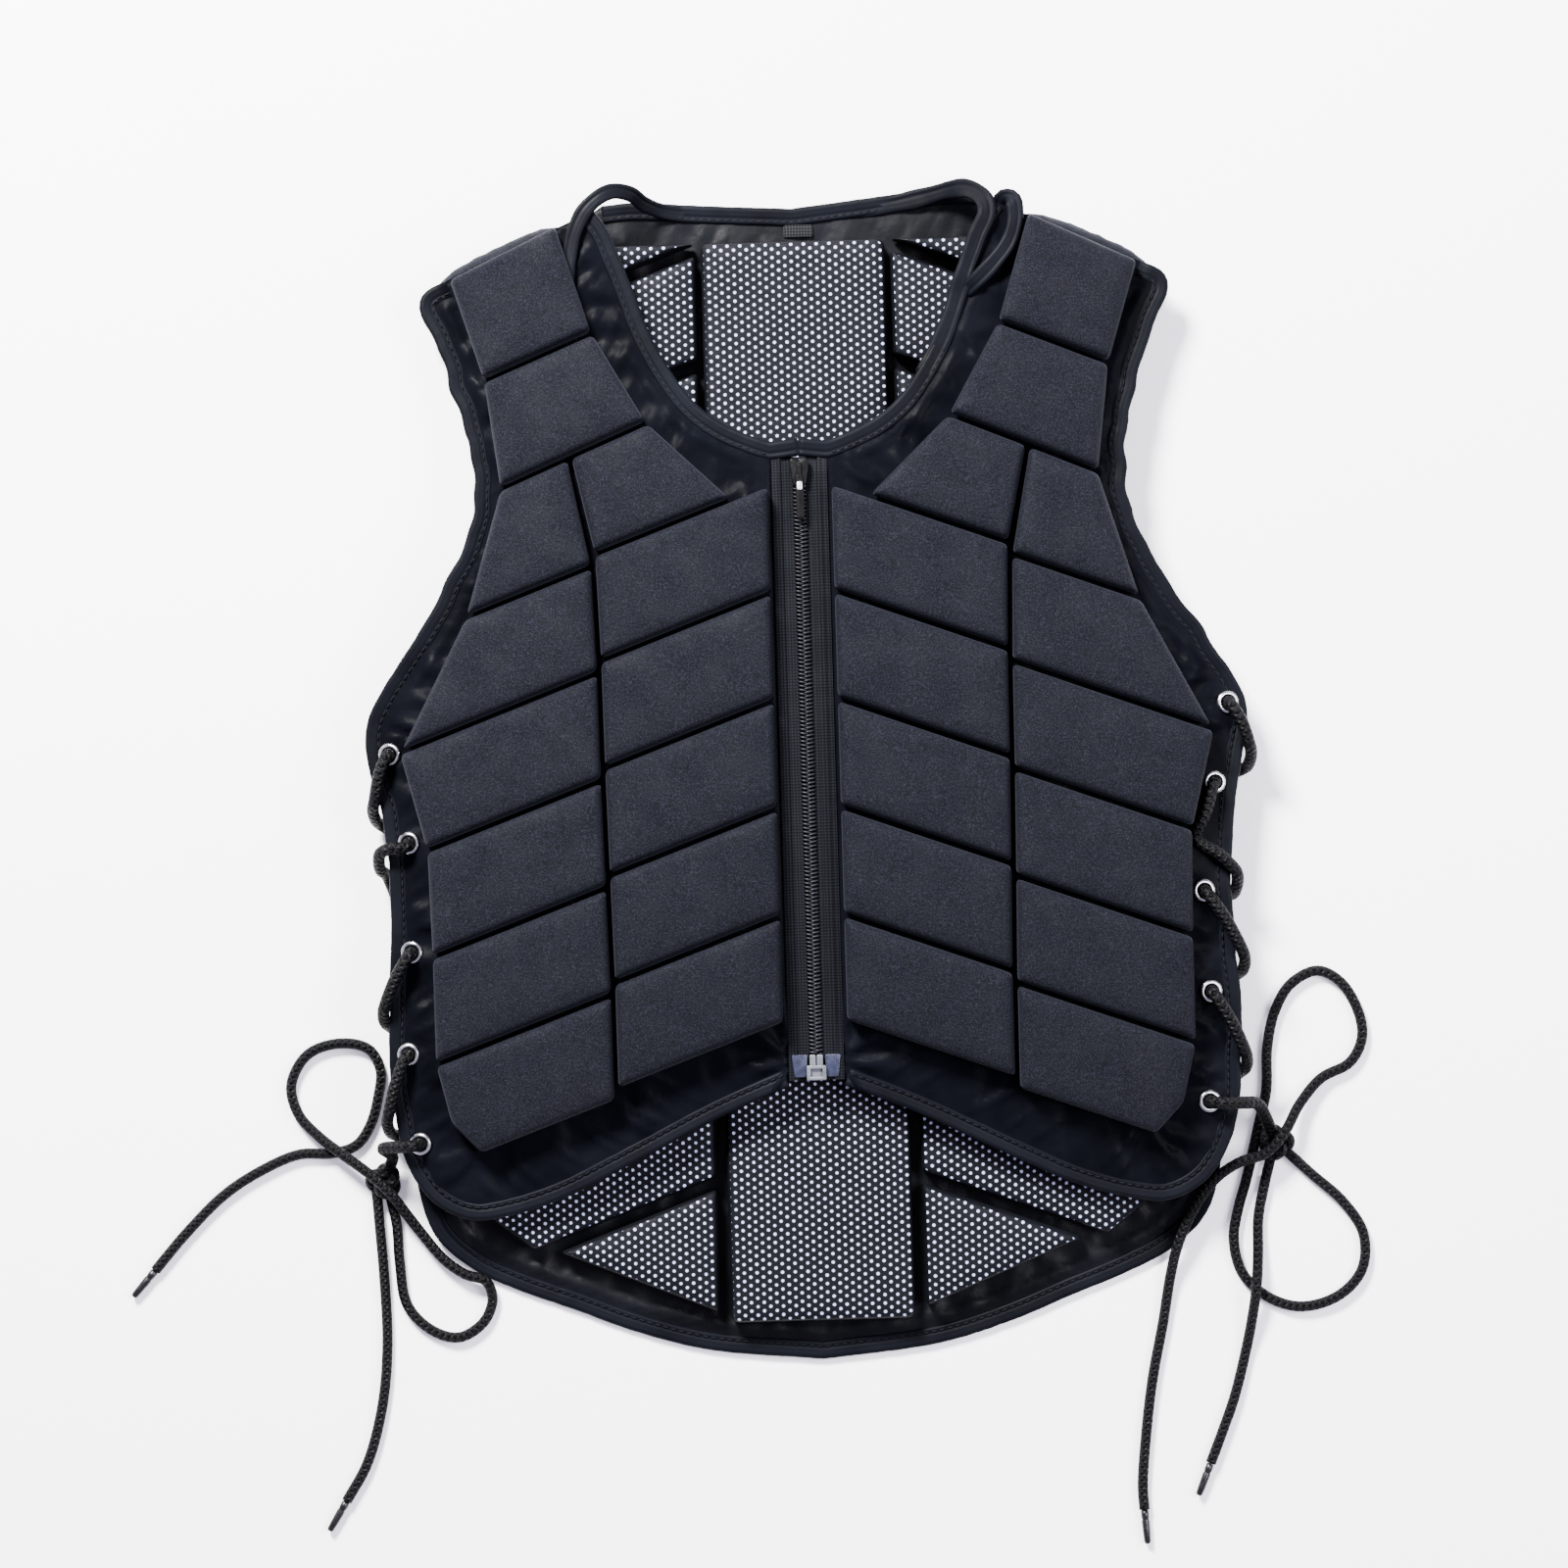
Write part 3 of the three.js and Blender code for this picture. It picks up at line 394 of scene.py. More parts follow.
def filled(outline, spacing):
    """Triangles over an outline, with even points inside it. The outline's own points come first."""
    xs, ys = [p[0] for p in outline], [p[1] for p in outline]
    grid = []
    row = 0
    y = min(ys)
    while y < max(ys):
        x = min(xs) + (row % 2) * spacing / 2
        while x < max(xs):
            grid.append((x, y))
            x += spacing
        y += spacing * 0.866
        row += 1
    grid = np.array(grid)
    grid = grid[inside(grid, outline)]
    if len(grid):
        grid = grid[nearest_edge(grid, outline)[0] > 0.6 * spacing]
    verts = [Vector(p) for p in outline] + [Vector(p) for p in grid]
    result = delaunay_2d_cdt(verts, [], [list(range(len(outline)))], 1, 1e-5)
    return flat(result[0]), [tuple(f) for f in result[2]]


# Meshes

def flipped(faces):
    return [tuple(reversed(f)) for f in faces]


def put_mesh(name, verts, faces, looks, face_material=None, uvs=None, mirror=False, smooth=True):
    """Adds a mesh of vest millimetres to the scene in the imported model's frame. looks are keys of MAT."""
    side = -1 if mirror else 1
    mesh = bpy.data.meshes.new(name)
    placed = [((side * x + SHIFT_X) / 1000, y / 1000, z / 1000) for x, y, z in verts]
    mesh.from_pydata(placed, [], flipped(faces) if mirror else faces)
    for look in looks:
        mesh.materials.append(MAT[look])
    if face_material is not None:
        mesh.polygons.foreach_set("material_index", face_material)
    if uvs is not None:
        layer = mesh.uv_layers.new(name="UVMap")
        for loop in mesh.loops:
            layer.data[loop.index].uv = uvs[loop.vertex_index]
    mesh.polygons.foreach_set("use_smooth", [smooth] * len(mesh.polygons))
    mesh.update()
    obj = bpy.data.objects.new(name, mesh)
    bpy.context.collection.objects.link(obj)
    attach(obj, "root")
    return obj


def join_parts(parts):
    """Verts and faces of several parts as one list."""
    verts, faces = [], []
    for v, f in parts:
        base = len(verts)
        verts += v
        faces += [tuple(i + base for i in face) for face in f]
    return verts, faces


def ring_faces(count, rings):
    """Faces between closed rings of count points each, listed from the first ring on."""
    out = []
    for r in range(rings - 1):
        for i in range(count):
            a, b = r * count + i, r * count + (i + 1) % count
            out.append((a, b, b + count, a + count))
    return out


def end_caps(count, total):
    """Faces that close the first and the last ring of count points."""
    return [tuple(reversed(range(count))), tuple(range(total - count, total))]


def corner_ring(polygon, radius, counts, bend=5):
    """A polygon with rounded corners, with a fixed number of points at each corner and side."""
    out = []
    corners = [Vector(p) for p in polygon]
    ends = [corner_reach(*three, radius, 0.42) for three in neighbours(corners)]
    for (start, end), p, following, count in zip(ends, corners, ends[1:] + ends[:1], counts):
        out += corner_bend(start, p, end, [k / (bend - 1) for k in range(bend)])
        out += [end.lerp(following[0], (k + 1) / (count + 1)) for k in range(count)]
    return flat(out)


def pad_mesh(polygon, corner, base, profile, crown, reach, ripple, seed, spacing=4.5, step=3.0):
    """A foam pad: rings up its side by the profile of (inset, height), and a crowned top."""
    sides = zip(polygon, polygon[1:] + polygon[:1])
    counts = [max(1, round(math.hypot(b[0] - a[0], b[1] - a[1]) / step) - 1) for a, b in sides]
    rings = [corner_ring(inset_polygon(polygon, d), max(0.8, corner - 0.6 * d), counts) for d, _ in profile]
    verts, n = [], len(rings[0])
    for ring, (_, z) in zip(rings, profile):
        for x, y in ring:
            lean = wobble(x / 9, y / 9, z / 12 + seed) * ripple * min(1, z / 5)
            verts.append((x, y, base(x, y) + z + lean * 0.4))
    faces = [tuple(reversed(range(n)))] + ring_faces(n, len(profile))
    top, inner = profile[-1][1], rings[-1]
    places, triangles = filled(inner, spacing)
    depth = nearest_edge(places, inner)[0]
    shared = len(verts) - n
    for (x, y), d in list(zip(places, depth))[n:]:
        wave = wobble(x / 26, y / 26, seed) * ripple
        pucker = wobble(x / 7, y / 7, seed + 3) * ripple * 0.35 * math.exp(-d / 8)
        verts.append((x, y, base(x, y) + top + crown * (1 - math.exp(-d / reach)) + wave + pucker))
    faces += [tuple(shared + i for i in f) for f in triangles]
    return verts, faces


def frames_along(points):
    """Tangent, side and up at each point of a path, with no sudden turns."""
    n = len(points)
    tangents = [(points[min(i + 1, n - 1)] - points[max(i - 1, 0)]).normalized() for i in range(n)]
    up = Vector((0, 0, 1))
    if abs(tangents[0].dot(up)) > 0.9:
        up = Vector((1, 0, 0))
    out = []
    for t in tangents:
        up = (up - t * up.dot(t)).normalized()
        out.append((t, up.cross(t), up.copy()))
    return out


def tube_mesh(points, radius, sides):
    """A round tube with its faces and uvs: round the section and along it in cord diameters."""
    verts, uvs, along = [], [], 0.0
    pts = [Vector(p) for p in points]
    for i, (p, (_, side, up)) in enumerate(zip(pts, frames_along(pts))):
        if i:
            along += (p - pts[i - 1]).length
        for k in range(sides):
            a = 2 * math.pi * k / sides
            verts.append(tuple(p + side * (math.cos(a) * radius) + up * (math.sin(a) * radius)))
            uvs.append((abs(2 * k / sides - 1), along / (2 * CORD_RADIUS)))
    faces = ring_faces(sides, len(pts)) + end_caps(sides, len(verts))
    return verts, flipped(faces), uvs


def strip_mesh(path, inward, section):
    """Sweeps a closed section of (across, up) along a path, with its across direction at each point."""
    verts, n = [], len(section)
    for p, side in zip(path, inward):
        for u, w in section:
            verts.append((p[0] + side[0] * u, p[1] + side[1] * u, p[2] + w))
    return verts, ring_faces(n, len(path)) + end_caps(n, len(verts))


def inward_normals(points):
    out = []
    for a, b in zip(points[:1] + points, points[1:] + points[-1:]):
        length = math.hypot(b[0] - a[0], b[1] - a[1]) or 1
        out.append((-(b[1] - a[1]) / length, (b[0] - a[0]) / length))
    return out


def lathe(profile, cx, cy, base, sides=40):
    """A turned ring, its profile of (radius, height) closed on itself."""
    verts, n = [], len(profile)
    for k in range(sides):
        a = 2 * math.pi * k / sides
        for r, z in profile:
            x, y = cx + math.cos(a) * r, cy + math.sin(a) * r
            verts.append((x, y, base(x, y) + z))
    faces = []
    for k in range(sides):
        here, there = k * n, (k + 1) % sides * n
        faces += [(here + i, there + i, there + (i + 1) % n, here + (i + 1) % n) for i in range(n)]
    return verts, faces


# Materials

def shade(color, factor):
    """A darker or lighter tone of a color."""
    return tuple(min(1, c * factor) for c in color)


class Surface:
    """A procedural material in object space, with short calls for what the materials share."""

    def __init__(self, name, color, roughness, metallic=0.0, gloss=0.5):
        self.material = bpy.data.materials.new(name)
        self.material.use_nodes = True
        self.nodes = self.material.node_tree.nodes
        self.links = self.material.node_tree.links
        self.shader = self.nodes["Principled BSDF"]
        self.places = self.nodes.new("ShaderNodeTexCoord").outputs
        self.at = self.places["Object"]
        self.normal = None
        self.set("Base Color", (*color, 1))
        self.set("Roughness", roughness)
        self.set("Metallic", metallic)
        self.set("Specular IOR Level", gloss)

    def set(self, socket, value, node=None):
        """Links an output to a socket, or sets the socket to a plain value."""
        target = (node or self.shader).inputs[socket]
        if isinstance(value, bpy.types.NodeSocket):
            self.links.new(value, target)
        else:
            target.default_value = value

    def node(self, kind, output, values, **settings):
        """A new node's output, with its settings and the values of its sockets."""
        n = self.nodes.new("ShaderNode" + kind)
        for key, value in settings.items():
            setattr(n, key, value)
        for socket, value in values.items():
            self.set(socket, value, n)
        return n.outputs[output]

    def math(self, kind, *values):
        return self.node("Math", 0, dict(enumerate(values)), operation=kind)

    def noise(self, scale, detail, at=None):
        place = self.at if at is None else at
        return self.node("TexNoise", "Fac", {"Scale": scale, "Detail": detail, "Vector": place})

    def ramp(self, value, *stops):
        """A value turned into the colors or greys of the stops."""
        n = self.nodes.new("ShaderNodeValToRGB")
        elements = n.color_ramp.elements
        while len(elements) < len(stops):
            elements.new(0.5)
        for e, (at, color) in zip(elements, stops):
            e.position = at
            e.color = (*color, 1) if hasattr(color, "__len__") else (color, color, color, 1)
        self.set("Fac", value, n)
        return n.outputs["Color"]

    def vary(self, socket, scale, detail, low, high, first=0.3):
        """Lets noise move a socket between two values."""
        self.set(socket, self.ramp(self.noise(scale, detail), (first, low), (1 - first, high)))

    def weave(self, pitch):
        """A plain weave's height: two sets of threads crossing."""
        values = {"Scale": 0.314 / pitch, "Distortion": 1.2, "Detail": 1.0, "Vector": self.at}
        return self.math("MULTIPLY", *(self.node("TexWave", "Fac", values, bands_direction=d) for d in "XY"))

    def bump(self, height, distance, strength):
        """Adds relief to what the surface already has."""
        values = {"Height": height, "Distance": distance, "Strength": strength}
        if self.normal is not None:
            values["Normal"] = self.normal
        self.normal = self.node("Bump", "Normal", values)
        self.set("Normal", self.normal)

    def split(self, vector):
        parts = self.nodes.new("ShaderNodeSeparateXYZ")
        self.set(0, vector, parts)
        return parts.outputs


def pad_fabric():
    """Close knitted cover, dark charcoal with a fine mixed fleck."""
    s = Surface("pad_fabric", (0.022, 0.024, 0.034), 0.82, gloss=0.07)
    fleck = s.ramp(s.noise(1500, 2), (0.34, (0.0007, 0.0008, 0.0016)), (0.5, (0.0019, 0.0022, 0.0041)),
                   (0.68, (0.0070, 0.0078, 0.0130)))
    rows = s.node("Mapping", "Vector", {"Vector": s.at, "Scale": (0.18, 1.0, 1.0)})
    patches = s.ramp(s.noise(1100, 3, rows), (0.3, 0.7), (0.7, 1.0))
    s.set("Base Color", s.node("Mix", "Result", {"Factor": 1.0, "A": fleck, "B": patches},
                               data_type="RGBA", blend_type="MULTIPLY"))
    s.vary("Roughness", 60, 4, 0.72, 0.9)
    s.set("Sheen Weight", 0.02)
    s.set("Sheen Roughness", 0.45)
    s.set("Sheen Tint", (0.7, 0.76, 1.0, 1))
    s.bump(s.noise(900, 3), 0.00012, 0.6)
    s.bump(s.weave(0.0006), 0.00008, 0.5)
    return s.material


def satin(name, color, roughness, gloss, wrinkle=0.0006):
    """Smooth shiny lining cloth with fine creases."""
    s = Surface(name, color, roughness, gloss=gloss)
    s.vary("Base Color", 30, 4, shade(color, 0.6), shade(color, 1.5), 0.25)
    s.vary("Roughness", 45, 3, roughness - 0.06, roughness + 0.12)
    s.bump(s.noise(75, 2), wrinkle, 0.7)
    s.bump(s.noise(210, 3), wrinkle * 0.45, 0.7)
    s.bump(s.weave(0.0004), 0.00004, 0.3)
    return s.material


def net_lining():
    """Black net over white foam: round holes on a triangular lattice, 3 mm by 4 mm."""
    s = Surface("net_lining", (0.02, 0.02, 0.025), 0.7, gloss=0.08)
    axes = s.split(s.at)
    distances = []
    for shift in (0.0, 0.5):
        squares = []
        for axis, pitch in (("X", 0.0060), ("Y", 0.0040)):
            cell = s.math("ADD", s.math("DIVIDE", axes[axis], pitch), shift)
            off = s.math("MULTIPLY", s.math("SUBTRACT", s.math("FRACT", cell), 0.5), pitch * 1000)
            squares.append(s.math("MULTIPLY", off, off))
        distances.append(s.math("SQRT", s.math("ADD", *squares)))
    uneven = s.math("MULTIPLY", s.noise(400, 2), 0.35)
    near = s.math("DIVIDE", s.math("ADD", s.math("MINIMUM", *distances), uneven), 2.5)
    s.set("Base Color", s.ramp(near, (0.29, (0.36, 0.39, 0.54)), (0.38, (0.085, 0.093, 0.14)),
                               (0.46, (0.0010, 0.0012, 0.0026))))
    s.vary("Roughness", 300, 2, 0.55, 0.8)
    s.bump(s.ramp(near, (0.29, 0.0), (0.46, 1.0)), 0.0005, 0.8)
    return s.material


def braided(name, color):
    """Round braid: two sets of strands crossing round the cord, with painted shade between the strands and a
    painted highlight on their crowns.
    """
    s = Surface(name, color, 0.6, gloss=0.07)
    axes = s.split(s.places["UV"])
    across = s.math("MULTIPLY", axes["X"], 4 * math.pi)
    along = s.math("MULTIPLY", axes["Y"], 3.2 * math.pi)
    height = s.math("MAXIMUM", *(s.math("SINE", s.math(way, across, along)) for way in ("ADD", "SUBTRACT")))
    # Painted shade and highlight: the colour follows the braid's height, dark in the hollows between strands
    # and light on their crowns.
    s.set("Base Color", s.ramp(height, (0.1, shade(color, 0.25)), (0.9, shade(color, 1.7))))
    s.vary("Roughness", 500, 2, 0.45, 0.7)
    s.bump(height, 0.0004, 0.9)
    s.bump(s.noise(2500, 2), 0.0001, 0.4)
    return s.material


def hard(name, color, roughness, metallic=0.0, grain=300, spread=0.12, gloss=0.5):
    """Metal or moulded plastic with small scratches and uneven gloss."""
    s = Surface(name, color, roughness, metallic, gloss)
    s.vary("Roughness", grain, 5, max(0.05, roughness - spread), roughness + spread)
    s.vary("Base Color", grain * 0.5, 3, shade(color, 0.75), shade(color, 1.15))
    s.bump(s.noise(grain * 4, 3), 0.00003, 0.5)
    return s.material


def woven_tape(name, color):
    """Zip tape: fine ribs along its length, with painted shade between the ribs and a painted highlight on
    them.
    """
    s = Surface(name, color, 0.8, gloss=0.06)
    height = s.weave(0.0014)
    # Painted shade and highlight: the colour follows the weave's height, dark between the ribs and light on
    # their tops.
    s.set("Base Color", s.ramp(height, (0.1, shade(color, 0.4)), (0.8, shade(color, 2.0))))
    s.vary("Roughness", 80, 3, 0.7, 0.9)
    s.bump(height, 0.0002, 0.8)
    return s.material


def film_material():
    """Clear bluish film that stiffens the tape's foot."""
    s = Surface("clear_film", (0.10, 0.12, 0.22), 0.25)
    s.vary("Base Color", 350, 3, (0.005, 0.006, 0.014), (0.012, 0.015, 0.034))
    s.vary("Roughness", 200, 2, 0.15, 0.4)
    s.set("Coat Weight", 0.4)
    s.bump(s.weave(0.0008), 0.0001, 0.5)
    return s.material


def floor_material():
    s = Surface("pale_floor", (0.86, 0.86, 0.9), 0.85)
    s.vary("Base Color", 3, 2, (0.90, 0.90, 0.93), (0.92, 0.92, 0.95))
    s.set("Emission Color", (0.86, 0.82, 1.0, 1))
    s.set("Emission Strength", 0.25)
    return s.material


MAT = {
    "pad": pad_fabric(),
    "satin": satin("black_satin", (0.0014, 0.0016, 0.0026), 0.36, 0.010, 0.0005),
    "binding": satin("edge_binding", (0.0018, 0.0021, 0.0034), 0.48, 0.03, 0.0004),
    # The back's cloth, also laid on the back pads' sides as painted shade.
    "shell": satin("back_cloth", (0.0022, 0.0024, 0.0034), 0.40, 0.055),
    "net": net_lining(),
    "cord": braided("braided_lace", (0.0010, 0.0010, 0.0014)),
    "thread": hard("thread", (0.005, 0.0052, 0.0068), 0.75, 0.0, 900, 0.12, 0.05),
    "eyelet": hard("nickel", (0.40, 0.40, 0.42), 0.24, 1.0),
    "coil": hard("coil", (0.0065, 0.0068, 0.0088), 0.36, 0.0, 600, 0.12, 0.12),
    "slider": hard("dark_slider", (0.0016, 0.0016, 0.002), 0.42, 0.0, 300, 0.1, 0.06),
    "worn": hard("worn_metal", (0.7, 0.7, 0.7), 0.3, 1.0),
    "box": hard("zip_box", (0.085, 0.09, 0.105), 0.35, 0.2),
    "tape": woven_tape("zip_tape", (0.0026, 0.0030, 0.0045)),
    "tab": woven_tape("tab_tape", (0.009, 0.009, 0.0105)),
    "aglet": hard("aglet_plastic", (0.003, 0.003, 0.004), 0.3, 0.0, 500, 0.1, 0.25),
    "film": film_material(),
}


# Camera and light, at the photograph's angle

def add_camera():
    """Straight down on the vest, with the photograph's small turn."""
    high, turn = 2.2, -1.68
    middle_height, seen_width, sensor = 0.025, 0.736, 36
    camera = bpy.data.objects.new("camera", bpy.data.cameras.new("camera"))
    bpy.context.collection.objects.link(camera)
    camera.location = ((-11.3 + SHIFT_X) / 1000, -0.0022, high)
    camera.rotation_euler = (0, 0, math.radians(turn))
    camera.data.sensor_width = sensor
    camera.data.lens = sensor * (high - middle_height) / seen_width
    camera.data.clip_end = 20
    bpy.context.scene.camera = camera


def add_area(name, at, size, power, color):
    light = bpy.data.lights.new(name, "AREA")
    light.shape = "DISK"
    light.size = size
    light.energy = power
    light.color = color
    obj = bpy.data.objects.new(name, light)
    obj.location = at
    obj.rotation_euler = Vector(at).to_track_quat("Z", "Y").to_euler()
    bpy.context.collection.objects.link(obj)


def add_light():
    world = bpy.data.worlds.new("studio")
    world.use_nodes = True
    background = world.node_tree.nodes["Background"]
    background.inputs["Color"].default_value = (0.82, 0.77, 1.0, 1)
    background.inputs["Strength"].default_value = 1.0
    bpy.context.scene.world = world
    add_area("key", (-0.75, 1.45, 1.5), 0.6, 430, (1.0, 0.995, 0.97))
    add_area("fill", (1.3, 0.1, 1.6), 1.2, 90, (0.97, 0.96, 1.0))


def add_floor():
    mesh = bpy.data.meshes.new("floor")
    s = 6.0
    mesh.from_pydata([(-s, -s, 0), (s, -s, 0), (s, s, 0), (-s, s, 0)], [], [(0, 1, 2, 3)])
    mesh.materials.append(floor_material())
    floor = bpy.data.objects.new("floor", mesh)
    bpy.context.collection.objects.link(floor)


# Cords

def lying(points):
    return [(x, y, CORD_RADIUS + SEAT + lift) for x, y, lift in points]


def aglet_mesh(end, direction):
    """The moulded tip: a slim tapered tube with a rounded end and two crimps."""
    stations = [(0, 0.7), (0.3, 0.98), (3.2, 1.0), (3.8, 0.88), (4.6, 0.88), (5.2, 1.0),
                (12, 0.92), (15, 0.84), (15.8, 0.6), (16, 0.15)]
    sides = 16
    pts = [end + direction * (SEAT + at * AGLET_LENGTH / stations[-1][0]) for at, _ in stations]
    verts, faces, _ = tube_mesh(pts, AGLET_RADIUS, sides)
    centres = [(p, share) for p, (_, share) in zip(pts, stations) for _ in range(sides)]
    return [tuple(p + (Vector(v) - p) * share) for v, (p, share) in zip(verts, centres)], faces


def free_cord(name, points):
    path = resample(smooth_path(lying(points), 8), 2.0)
    verts, faces, uvs = tube_mesh(path, CORD_RADIUS, 14)
    cord = put_mesh("lace_" + name, verts, faces, ["cord"], uvs=uvs)
    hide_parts("bow_" + name)
    direction = path[-1] - path[-3]
    direction.z = 0
    direction.normalize()
    v, f = aglet_mesh(path[-1], direction)
    tip = put_mesh("lace_tip_" + name, v, f, ["aglet"])
    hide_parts("aglet_" + name)


def flap_edge(y):
    """How far out the front flap's edge is at a height on the vest."""
    side = flat(smooth_path(scaled(FRONT_SIDE), 2))
    least = max(y, -0.3 * BACK_LENGTH)
    i = next(k for k, (x, py) in enumerate(side) if x > 0.8 * HALF_WIDTH and py > least)
    return max(side[i][0], side[i - 1][0])


def lace_route(lacing, knot):
    """Up through the back's hole and an eyelet, over the flap, round its edge and under to the next."""
    floor, bend = CORD_RADIUS + SEAT, LACE_BEND
    route = []
    for i, (sx, sy, over, bow) in enumerate(lacing):
        x, y = spot((sx, sy))
        top = front_height(x, y) + CLOTH + SEAT + EYELET_HEIGHT
        if i:
            route += [(BACK_HOLE_X + bend, y, floor), (BACK_HOLE_X + 0.3 * bend, y, floor + 0.3 * bend)]
            route += [(BACK_HOLE_X, y, floor + bend), (BACK_HOLE_X, y, back_height(x) + CLOTH + 3)]
        route += [(x, y, top - 9), (x, y, top - 3), (x, y, top)]
        if over is None:
            route += [(x + 0.3 * bend, y - 0.3, top + 0.7 * bend), (x + bend, y - 0.6, top + bend)]
            edge = flap_edge(y) + 1.5 * CORD_RADIUS
            route += [(edge - 3, y - 1, top + 0.3 * bend), (edge + 3, y - 2, top - bend)]
            route += [(knot[0] - 5, knot[1] + 12, floor + 2.2 * bend), (knot[0] - 2, knot[1] + 5, floor + 4)]
            route.append((knot[0], knot[1], floor + 1))
            break
        over *= BACK_LENGTH
        edge = flap_edge(over) + CORD_RADIUS + 1
        bx, by = spot(bow) if bow else (x, y)
        toward = -1 if bow else 1
        route.append((x + toward * 0.3 * bend, y - 2, top + 0.7 * bend))
        if bow:
            route += [((x + bx) / 2, (y + by) / 2, top + bend), (bx, by, top + 0.6 * bend)]
        route.append(((bx + edge) / 2, (by + over) / 2 + 2, top + 0.9 * bend))
        route += [(edge - 0.5 * bend, over + 4, top + 0.3 * bend), (edge - 1.2, over, top - 0.7 * bend)]
        route += [(edge - 1.3, over - 4, top - 1.9 * bend), (edge - 0.7 * bend, over - 8, floor + 0.6 * bend)]
    return route


def knot_mesh(x, y):
    """The drawn-up knot of the bow: one lace wound round itself."""
    pts = []
    for k in range(97):
        a = 2 * math.pi * k / 96
        r = 4.4 + 2.3 * math.cos(3 * a)
        pts.append(Vector((x + r * math.cos(2 * a), y + r * math.sin(2 * a), 6.0 + 2.8 * math.sin(3 * a))))
    return tube_mesh(pts, 2.4, 12)


def knot_stubs(side, sign, knot):
    """The bow's two strands between the knot and where they come free of it."""
    stubs = []
    for kind in ("long", "short"):
        (x0, y0, _), (x1, y1, _) = BOWS["%s_%s" % (side, kind)][:2]
        ahead = Vector((sign * (x1 - x0), y1 - y0, 0)).normalized()
        start = Vector((sign * x0, y0, CORD_RADIUS + SEAT))
        lifted = start - ahead * 4 + Vector((0, 0, 1.2))
        route = [(abs(knot[0]), knot[1], 7.5), lifted, start + ahead * 0.6]
        stubs.append(tube_mesh(resample(smooth_path(route, 5), 1.2), CORD_RADIUS - 0.03, 14))
    return stubs


def side_laces():
    for side, sign in SIDES:
        knot = KNOT_AT[side]
        route = lace_route(LACING[side], (abs(knot[0]), knot[1]))
        path = resample(smooth_path(route, 5), 1.6)
        for q in path:
            q.z = max(q.z, LACE_RADIUS + FLOOR_GAP)
        verts, faces, uvs = tube_mesh(path, LACE_RADIUS, 14)
        for v2, f2, uv2 in [knot_mesh(abs(knot[0]), knot[1]), *knot_stubs(side, sign, knot)]:
            base = len(verts)
            verts, uvs = verts + v2, uvs + uv2
            faces += [tuple(i + base for i in f) for f in f2]
        lace = put_mesh("side_lacing_" + side, verts, faces, ["cord"], uvs=uvs, mirror=sign < 0)
        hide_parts("side_lace_" + side)


def eyelets():
    r1, r2, h = EYELET_INNER, EYELET_OUTER, EYELET_HEIGHT
    profile = [(r1, -1.2), (r1, 0.7), (r1 + 0.25, h * 0.85), (r1 + 0.8, h), (r1 + 1.5, h * 0.92),
               (r2 - 0.25, h * 0.5), (r2, 0.12), (r2 - 0.3, -0.2), (r1 + 0.6, -0.3), (r1 + 0.4, -1.2)]
    for side, sign in SIDES:
        for i, (sx, sy, _, _) in enumerate(LACING[side]):
            x, y = spot((sx, sy))
            plane = front_plane(x, y)
            v, f = lathe(profile, x, y, lambda px, py: plane(px, py) + CLOTH + SEAT)
            ring = put_mesh("ring_%s_%d" % (side, i + 1), v, f, ["eyelet"], mirror=sign < 0)
            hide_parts("eyelet_%s_%d" % (side, i + 1))


# Front

def front_cells():
    """Corners of each front pad's cell, counterclockwise, as in the solids."""
    def line(height, fall):
        return lambda x: height - fall * x

    seams = []
    for seam in SHOULDER_SEAMS:
        ends = {k: seam[k] * HALF_WIDTH for k in ("inner", "split", "outer") if k in seam}
        seams.append({"line": line(seam["height"] * BACK_LENGTH, seam["fall"]), **ends})

    def cell(upper, lower, a, b):
        return [(lower[a], lower["line"](lower[a])), (lower[b], lower["line"](lower[b])),
                (upper[b], upper["line"](upper[b])), (upper[a], upper["line"](upper[a]))]

    cells = {"shoulder_1": cell(seams[0], seams[1], "inner", "outer"),
             "shoulder_2": cell(seams[1], seams[2], "inner", "outer")}
    above = {"inner": seams[2], "outer": seams[2]}
    for i, (row, split, outer) in enumerate(BODY_SEAMS):
        height = SEAM_TOP - SEAM_PITCH * i
        reach = {"split": split * HALF_WIDTH, "outer": outer * HALF_WIDTH}
        a = {**reach, "line": line(height, SEAM_SLOPE), "inner": PAD_INNER_EDGE}
        b = {**reach, "line": line(height - COLUMN_STEP, SEAM_SLOPE)}
        lower = {**a, "inner": ROW_A_INNER * HALF_WIDTH} if i == 0 else a
        cells["inner_" + row] = cell(above["inner"], lower, "inner", "split")
        cells["outer_" + row] = cell(above["outer"], b, "split", "outer")
        above = {"inner": a, "outer": b}
    cells["outer_f"].insert(2, spot(LOWEST_CORNER))
    return cells


def inset_polygon(points, distance):
    """Moves each side of a polygon inward."""
    out = []
    for (ax, ay), (bx, by), (cx, cy) in neighbours(points):
        l1, l2 = math.hypot(bx - ax, by - ay), math.hypot(cx - bx, cy - by)
        d1, d2 = ((bx - ax) / l1, (by - ay) / l1), ((cx - bx) / l2, (cy - by) / l2)
        cross = d1[0] * d2[1] - d1[1] * d2[0]
        slide = 0 if abs(cross) < 0.02 else distance * (1 - d1[0] * d2[0] - d1[1] * d2[1]) / cross
        out.append((bx - d1[1] * distance - d1[0] * slide, by + d1[0] * distance - d1[1] * slide))
    return out


PAD_PROFILE = [(0.9, 0.0), (0.2, 1.6), (0.0, 4.0), (0.0, 8.6), (0.35, 10.8), (1.0, 12.3), (2.0, 13.3),
               (3.4, 13.9)]


